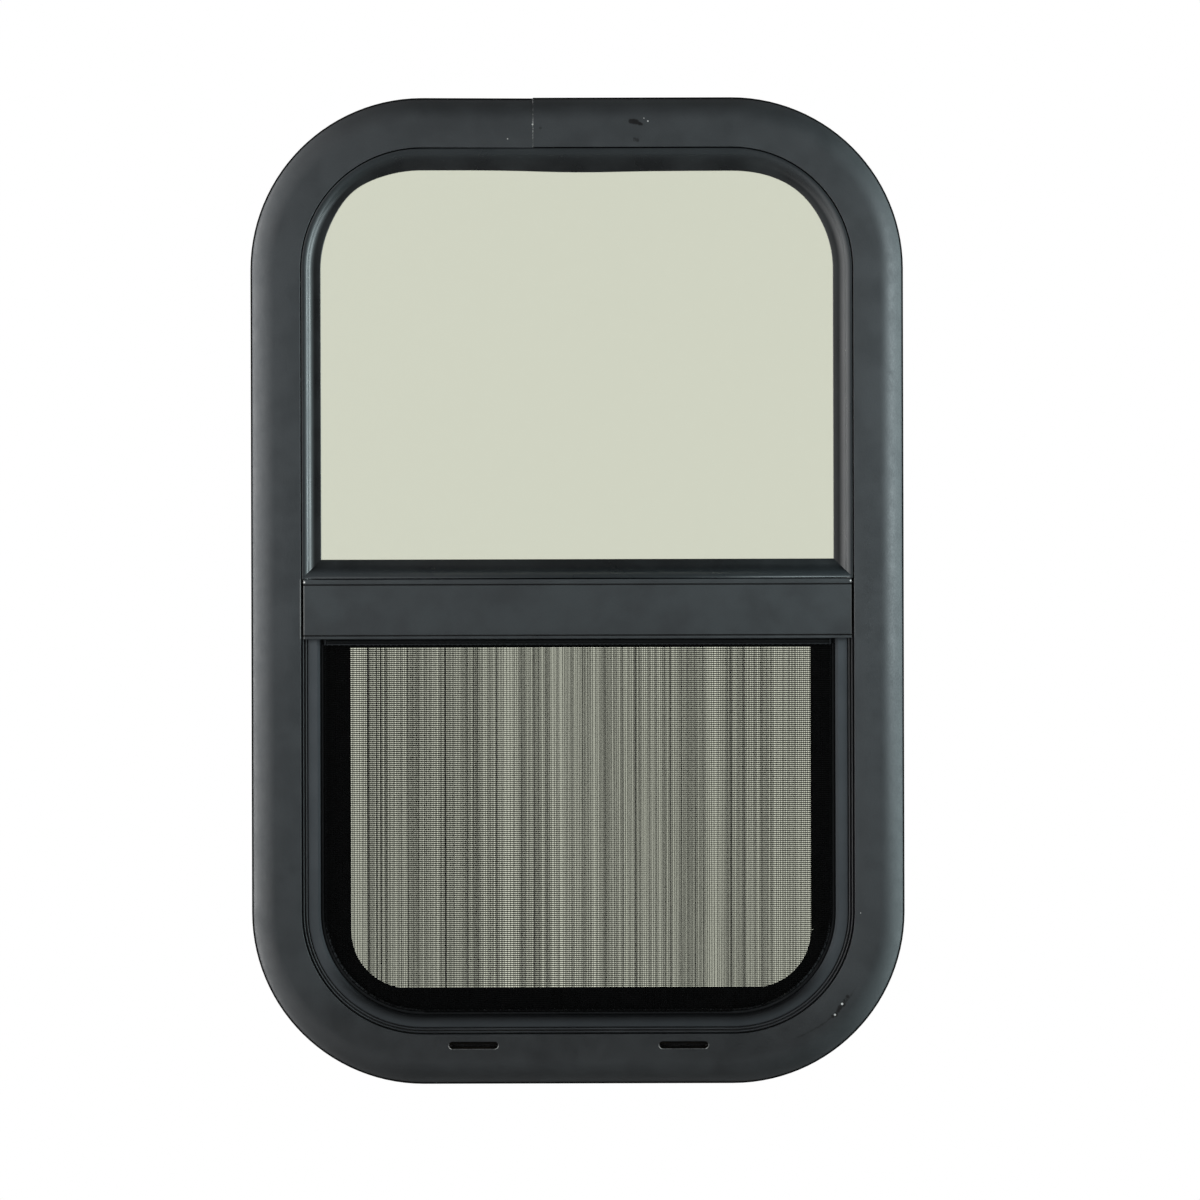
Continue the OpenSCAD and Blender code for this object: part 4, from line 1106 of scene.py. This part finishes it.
# Run channels: flocked rubber channels in the frame's track that guide the pane's sides and foot.
RUN_U = SLEEVE_U + 0.15
RUN_IN = SLEEVE_U + 9.4
RUN_FLOOR = SLEEVE_U + 1.4
RUN_Y0, RUN_Y1 = 3.1, 11.9
run_outline = outline(
    (RUN_U, RUN_Y0, 0.3), (RUN_IN, RUN_Y0, 0.5), (RUN_IN, SASH_Y - 0.5, 0.6),
    (RUN_FLOOR, SASH_Y - 0.5, 0.4), (RUN_FLOOR, SASH_BACK + 0.5, 0.4), (RUN_IN, SASH_BACK + 0.5, 0.6),
    (RUN_IN, RUN_Y1, 0.5), (RUN_U, RUN_Y1, 0.3))


def flock(name):
    """Short nylon flock on rubber: velvety, very matt, speckled."""
    material, tree = new_material(name)
    place = add(tree, "TexCoord").outputs["Object"]
    nap = add(tree, "TexNoise", {"Vector": place, "Scale": 1600, "Detail": 2})
    colour = add(tree, "Mix", (nap, linear("#0b0b0b"), linear("#262626")), data_type="RGBA")
    bump = add(tree, "Bump", {"Height": nap, "Strength": 0.5, "Distance": 0.0002})
    shader = add(tree, "BsdfPrincipled", {"Base Color": colour, "Roughness": 0.95, "Normal": bump,
                                          "Sheen Weight": 0.3})
    add(tree, "OutputMaterial", {"Surface": shader})
    return material


runs_low, runs_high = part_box("run_channels")
flocked = flock("black flocked rubber")
sides = [carry_round("run_side", "left", runs_high.z / MM, 0, runs_low.z / MM, run_outline),
         carry_round("run_side", "right", runs_low.z / MM, 0, runs_high.z / MM, run_outline)]
dress(join(sides, "sash_side_runs"), flocked, "run_flock", "run_channels")
dress(carry_round("sash_bottom_run", "left", LOW_BEND + 0.01, 2, LOW_BEND + 0.01, run_outline), flocked,
      "run_flock", "bottom_seal")

# Clamp ring: an aluminium extrusion bent to the frame's outline that pulls the window tight from
# inside with sixteen countersunk screws into the frame's race; coated black, seam at the bottom.
ring_low, ring_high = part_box("clamp_ring")
WALL_Y = ring_low.y / MM
RING_Y = ring_high.y / MM
RING_U = HALF_W - ring_high.x / MM
RING_T = 1.8
RING_IN = RING_U + 35
RING_R = 4
RACE_U = 26.8
RIB_IN = 20.8
RIB_OUT = 19.3
ring_outline = outline(
    (RING_U, WALL_Y, 0.3), *arc((RING_U + RING_R, RING_Y - RING_R), RING_R, 180, 90, 6),
    (RING_IN, RING_Y, 1.2), (RING_IN, WALL_Y, 0.4), (RING_IN - RING_T, WALL_Y, 0.4),
    (RING_IN - RING_T, SLEEVE_END, 0), (RIB_IN, SLEEVE_END, 0), (RIB_IN, WALL_Y, 0.2),
    (RIB_OUT, WALL_Y, 0.2), (RIB_OUT, SLEEVE_END, 0),
    *arc((RING_U + RING_R, RING_Y - RING_R), RING_R - RING_T, 90, 180, 6), (RING_U + RING_T, WALL_Y, 0.2))
ring = carry_round("clamp_ring_extrusion", "bottom", SEAM_GAP / 2, 4, -SEAM_GAP / 2, ring_outline)

diagonal = (CORNER_R - RACE_U) * math.cos(math.pi / 4)
screw_places = []
for side in (-1, 1):
    screw_places += [(side * (HALF_W - RACE_U), MID_Z + k * 110) for k in (-1.5, -0.5, 0.5, 1.5)]
    for end in (-1, 1):
        screw_places.append((side * 60, MID_Z + end * (HALF_H - RACE_U)))
        screw_places.append((side * (BEND_X + diagonal), MID_Z + end * (HALF_H - CORNER_R + diagonal)))

HEAD_R = 3.7
HOLE_R = 2.1
HEAD_DEPTH = 1.6


def turned(name, x, z, stations, vertices=24):
    """A turned piece on an axis along y: a disc drawn out through (y, radius) stations."""
    bpy.ops.object.select_all(action="DESELECT")
    y0, r0 = stations[0]
    bpy.ops.mesh.primitive_circle_add(vertices=vertices, radius=r0 * MM, fill_type="NGON",
                                      location=(x * MM, y0 * MM, z * MM), rotation=(math.pi / 2, 0, 0))
    piece = bpy.context.object
    piece.name = name
    piece.data.name = name
    bpy.ops.object.transform_apply(location=True, rotation=True, scale=True)
    bpy.ops.object.mode_set(mode="EDIT")
    bpy.ops.mesh.select_all(action="SELECT")
    for (y_before, r_before), (y, r) in zip(stations, stations[1:]):
        bpy.ops.mesh.extrude_region_move(TRANSFORM_OT_translate={"value": (0, (y - y_before) * MM, 0)})
        bpy.ops.transform.resize(value=(r / r_before, 1, r / r_before),
                                 center_override=(x * MM, y * MM, z * MM))
    return close_piece(piece, 40)


cutters = [turned("sink", x, z, [(RING_Y - RING_T - 1, HOLE_R), (RING_Y - HEAD_DEPTH, HOLE_R),
                                 (RING_Y + 0.1, HEAD_R + 0.2), (RING_Y + 1, HEAD_R + 0.2)])
           for x, z in screw_places]
cut_out(ring, join(cutters, "sinks"))
even = ring.modifiers.new("even_shading", "WEIGHTED_NORMAL")
even.keep_sharp = True
bpy.ops.object.modifier_apply(modifier=even.name)
ring_coat = powder_coat("satin black powder coat on the clamp ring", "#25282a", "#2c3031")
dress(ring, ring_coat, "ring_black", "clamp_ring")

# Clamp ring screws: zinc-plated self-tappers with countersunk cross-recess heads, driven flush into
# the ring's sunk holes and on into the frame's race.
screw = turned("ring_screw", 0, 0, [(RING_Y - 12, 0.6), (RING_Y - 9, 1.8), (RING_Y - HEAD_DEPTH, 1.9),
                                    (RING_Y - 0.35, HEAD_R), (RING_Y - 0.08, HEAD_R - 0.15)])
for half_x, half_z in ((1.9, 0.4), (0.4, 1.9)):
    cut_out(screw, box_piece("blade", (-half_x, RING_Y - 1.5, -half_z), (half_x, RING_Y + 1, half_z), 0))
screws = []
for number, (x, z) in enumerate(screw_places):
    bpy.ops.object.select_all(action="DESELECT")
    screw.select_set(True)
    bpy.context.view_layer.objects.active = screw
    bpy.ops.object.duplicate()
    copy = bpy.context.object
    bpy.ops.object.mode_set(mode="EDIT")
    bpy.ops.mesh.select_all(action="SELECT")
    bpy.ops.transform.rotate(value=math.radians(37 * number % 90), orient_axis="Y", center_override=(0, 0, 0))
    bpy.ops.transform.translate(value=(x * MM, 0, z * MM))
    bpy.ops.object.mode_set(mode="OBJECT")
    screws.append(copy)
dress(join(screws, "clamp_ring_screws"), steel, "bolt_steel")
bpy.data.objects.remove(screw)

# Studio: a plain pale floor well below the window, bright paper behind and at both sides, a dark
# room in front and a soft box at each side. The camera stands at the photograph's angle.
FLOOR_Z = -0.3
FLOOR_R = 1.35
bpy.ops.object.select_all(action="DESELECT")
bpy.ops.mesh.primitive_circle_add(vertices=96, radius=FLOOR_R, fill_type="NGON", location=(0, 0, FLOOR_Z))
floor = bpy.context.object
floor.name = "studio_floor"
floor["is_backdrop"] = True
floor_paint, paint = new_material("pale studio floor")
floor_shader = add(paint, "BsdfPrincipled", {"Base Color": linear("#f6f6f6"), "Roughness": 0.9})
add(paint, "OutputMaterial", {"Surface": floor_shader})
floor.data.materials.append(floor_paint)
floor.visible_glossy = False

world = bpy.data.worlds.new("studio")
bpy.context.scene.world = world
world.use_nodes = True
sky = world.node_tree
sky.nodes.clear()
AMBIENT = 0.25
MIRROR_FRONT = 0.03
path = add(sky, "LightPath").outputs
way = add(sky, "SeparateXYZ", (add(sky, "TexCoord").outputs["Generated"],)).outputs
level = fades(sky, (away(sky, way["Z"], 0), 0.7, 0.2, 0.12, 1))
overhead = heaviest(sky, fades(sky, (way["Z"], 0.2, 0.9, 0, 0.1)),
                    fades(sky, (way["Z"], -0.2, -0.9, 0, 0.18)))
papers = [fades(sky, (way["Y"], 0, 0.5))]
leftward = add(sky, "Math", (way["X"], -1), operation="MULTIPLY")
forward = fades(sky, (way["Y"], 0, 1, 1, 1.6))
for toward, narrow, bright, rise in ((leftward, 1.15, 3.75, forward), (way["X"], 2.6, 4.2, 1)):
    paper = add(sky, "Math", (heaviest(sky, toward, 0), narrow), operation="POWER")
    paper = add(sky, "Math", (paper, bright), operation="MULTIPLY")
    papers.append(add(sky, "Math", (paper, rise), operation="MULTIPLY"))
mirrored = add(sky, "Math", (level, heaviest(sky, *papers)), operation="MULTIPLY")
for glow in (overhead, MIRROR_FRONT):
    mirrored = add(sky, "Math", (mirrored, glow), operation="ADD")
seen = heaviest(sky, path["Is Camera Ray"], path["Is Transmission Ray"])
strength = add(sky, "Mix", (path["Is Glossy Ray"], AMBIENT, mirrored), data_type="FLOAT")
strength = add(sky, "Mix", (seen, strength, 1), data_type="FLOAT")
teal = add(sky, "Math", (fades(sky, (way["X"], 0.3, 0.7)), path["Is Glossy Ray"]), operation="MULTIPLY")
hue = add(sky, "Mix", (teal, linear("#ffffff"), linear("#e7fdff")), data_type="RGBA")
add(sky, "OutputWorld", {"Surface": add(sky, "Background", {"Color": hue, "Strength": strength})})


def soft_light(name, place, aim, width, height, power, code):
    """A soft box at a place, turned to a point."""
    lamp = bpy.data.lights.new(name, "AREA")
    lamp.shape = "RECTANGLE"
    lamp.size, lamp.size_y = width, height
    lamp.energy = power
    lamp.color = linear(code)[:3]
    holder = bpy.data.objects.new(name, lamp)
    bpy.context.scene.collection.objects.link(holder)
    holder.location = place
    holder.rotation_euler = (Vector(aim) - Vector(place)).to_track_quat("-Z", "Y").to_euler()
    return holder


left_box = soft_light("left soft box", (-0.48, -0.2, 0.4), (-0.05, 0, 0.34), 0.2, 0.4, 2.8, "#ffffff")
left_box.visible_glossy = False
soft_light("right soft box", (0.48, -0.2, 0.4), (0.05, 0, 0.34), 0.2, 0.4, 2.4, "#ecfbff")

CAMERA_AWAY = 5
CAMERA_X = 13.7
CAMERA_DROP = 5.8
CAMERA_ROLL = 0.15
FRAME_W = 0.7302
SENSOR = 0.036
LENS = SENSOR * CAMERA_AWAY / FRAME_W
camera_data = bpy.data.cameras.new("camera")
camera_data.sensor_width = SENSOR * 1000
camera_data.lens = LENS * 1000
camera = bpy.data.objects.new("camera", camera_data)
bpy.context.scene.collection.objects.link(camera)
camera.location = (CAMERA_X * MM, -CAMERA_AWAY - PROUD * MM, (MID_Z - CAMERA_DROP) * MM)
camera.rotation_euler = (math.pi / 2, math.radians(CAMERA_ROLL), 0)
bpy.context.scene.camera = camera
bpy.context.scene.view_settings.view_transform = "Standard"

low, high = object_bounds()
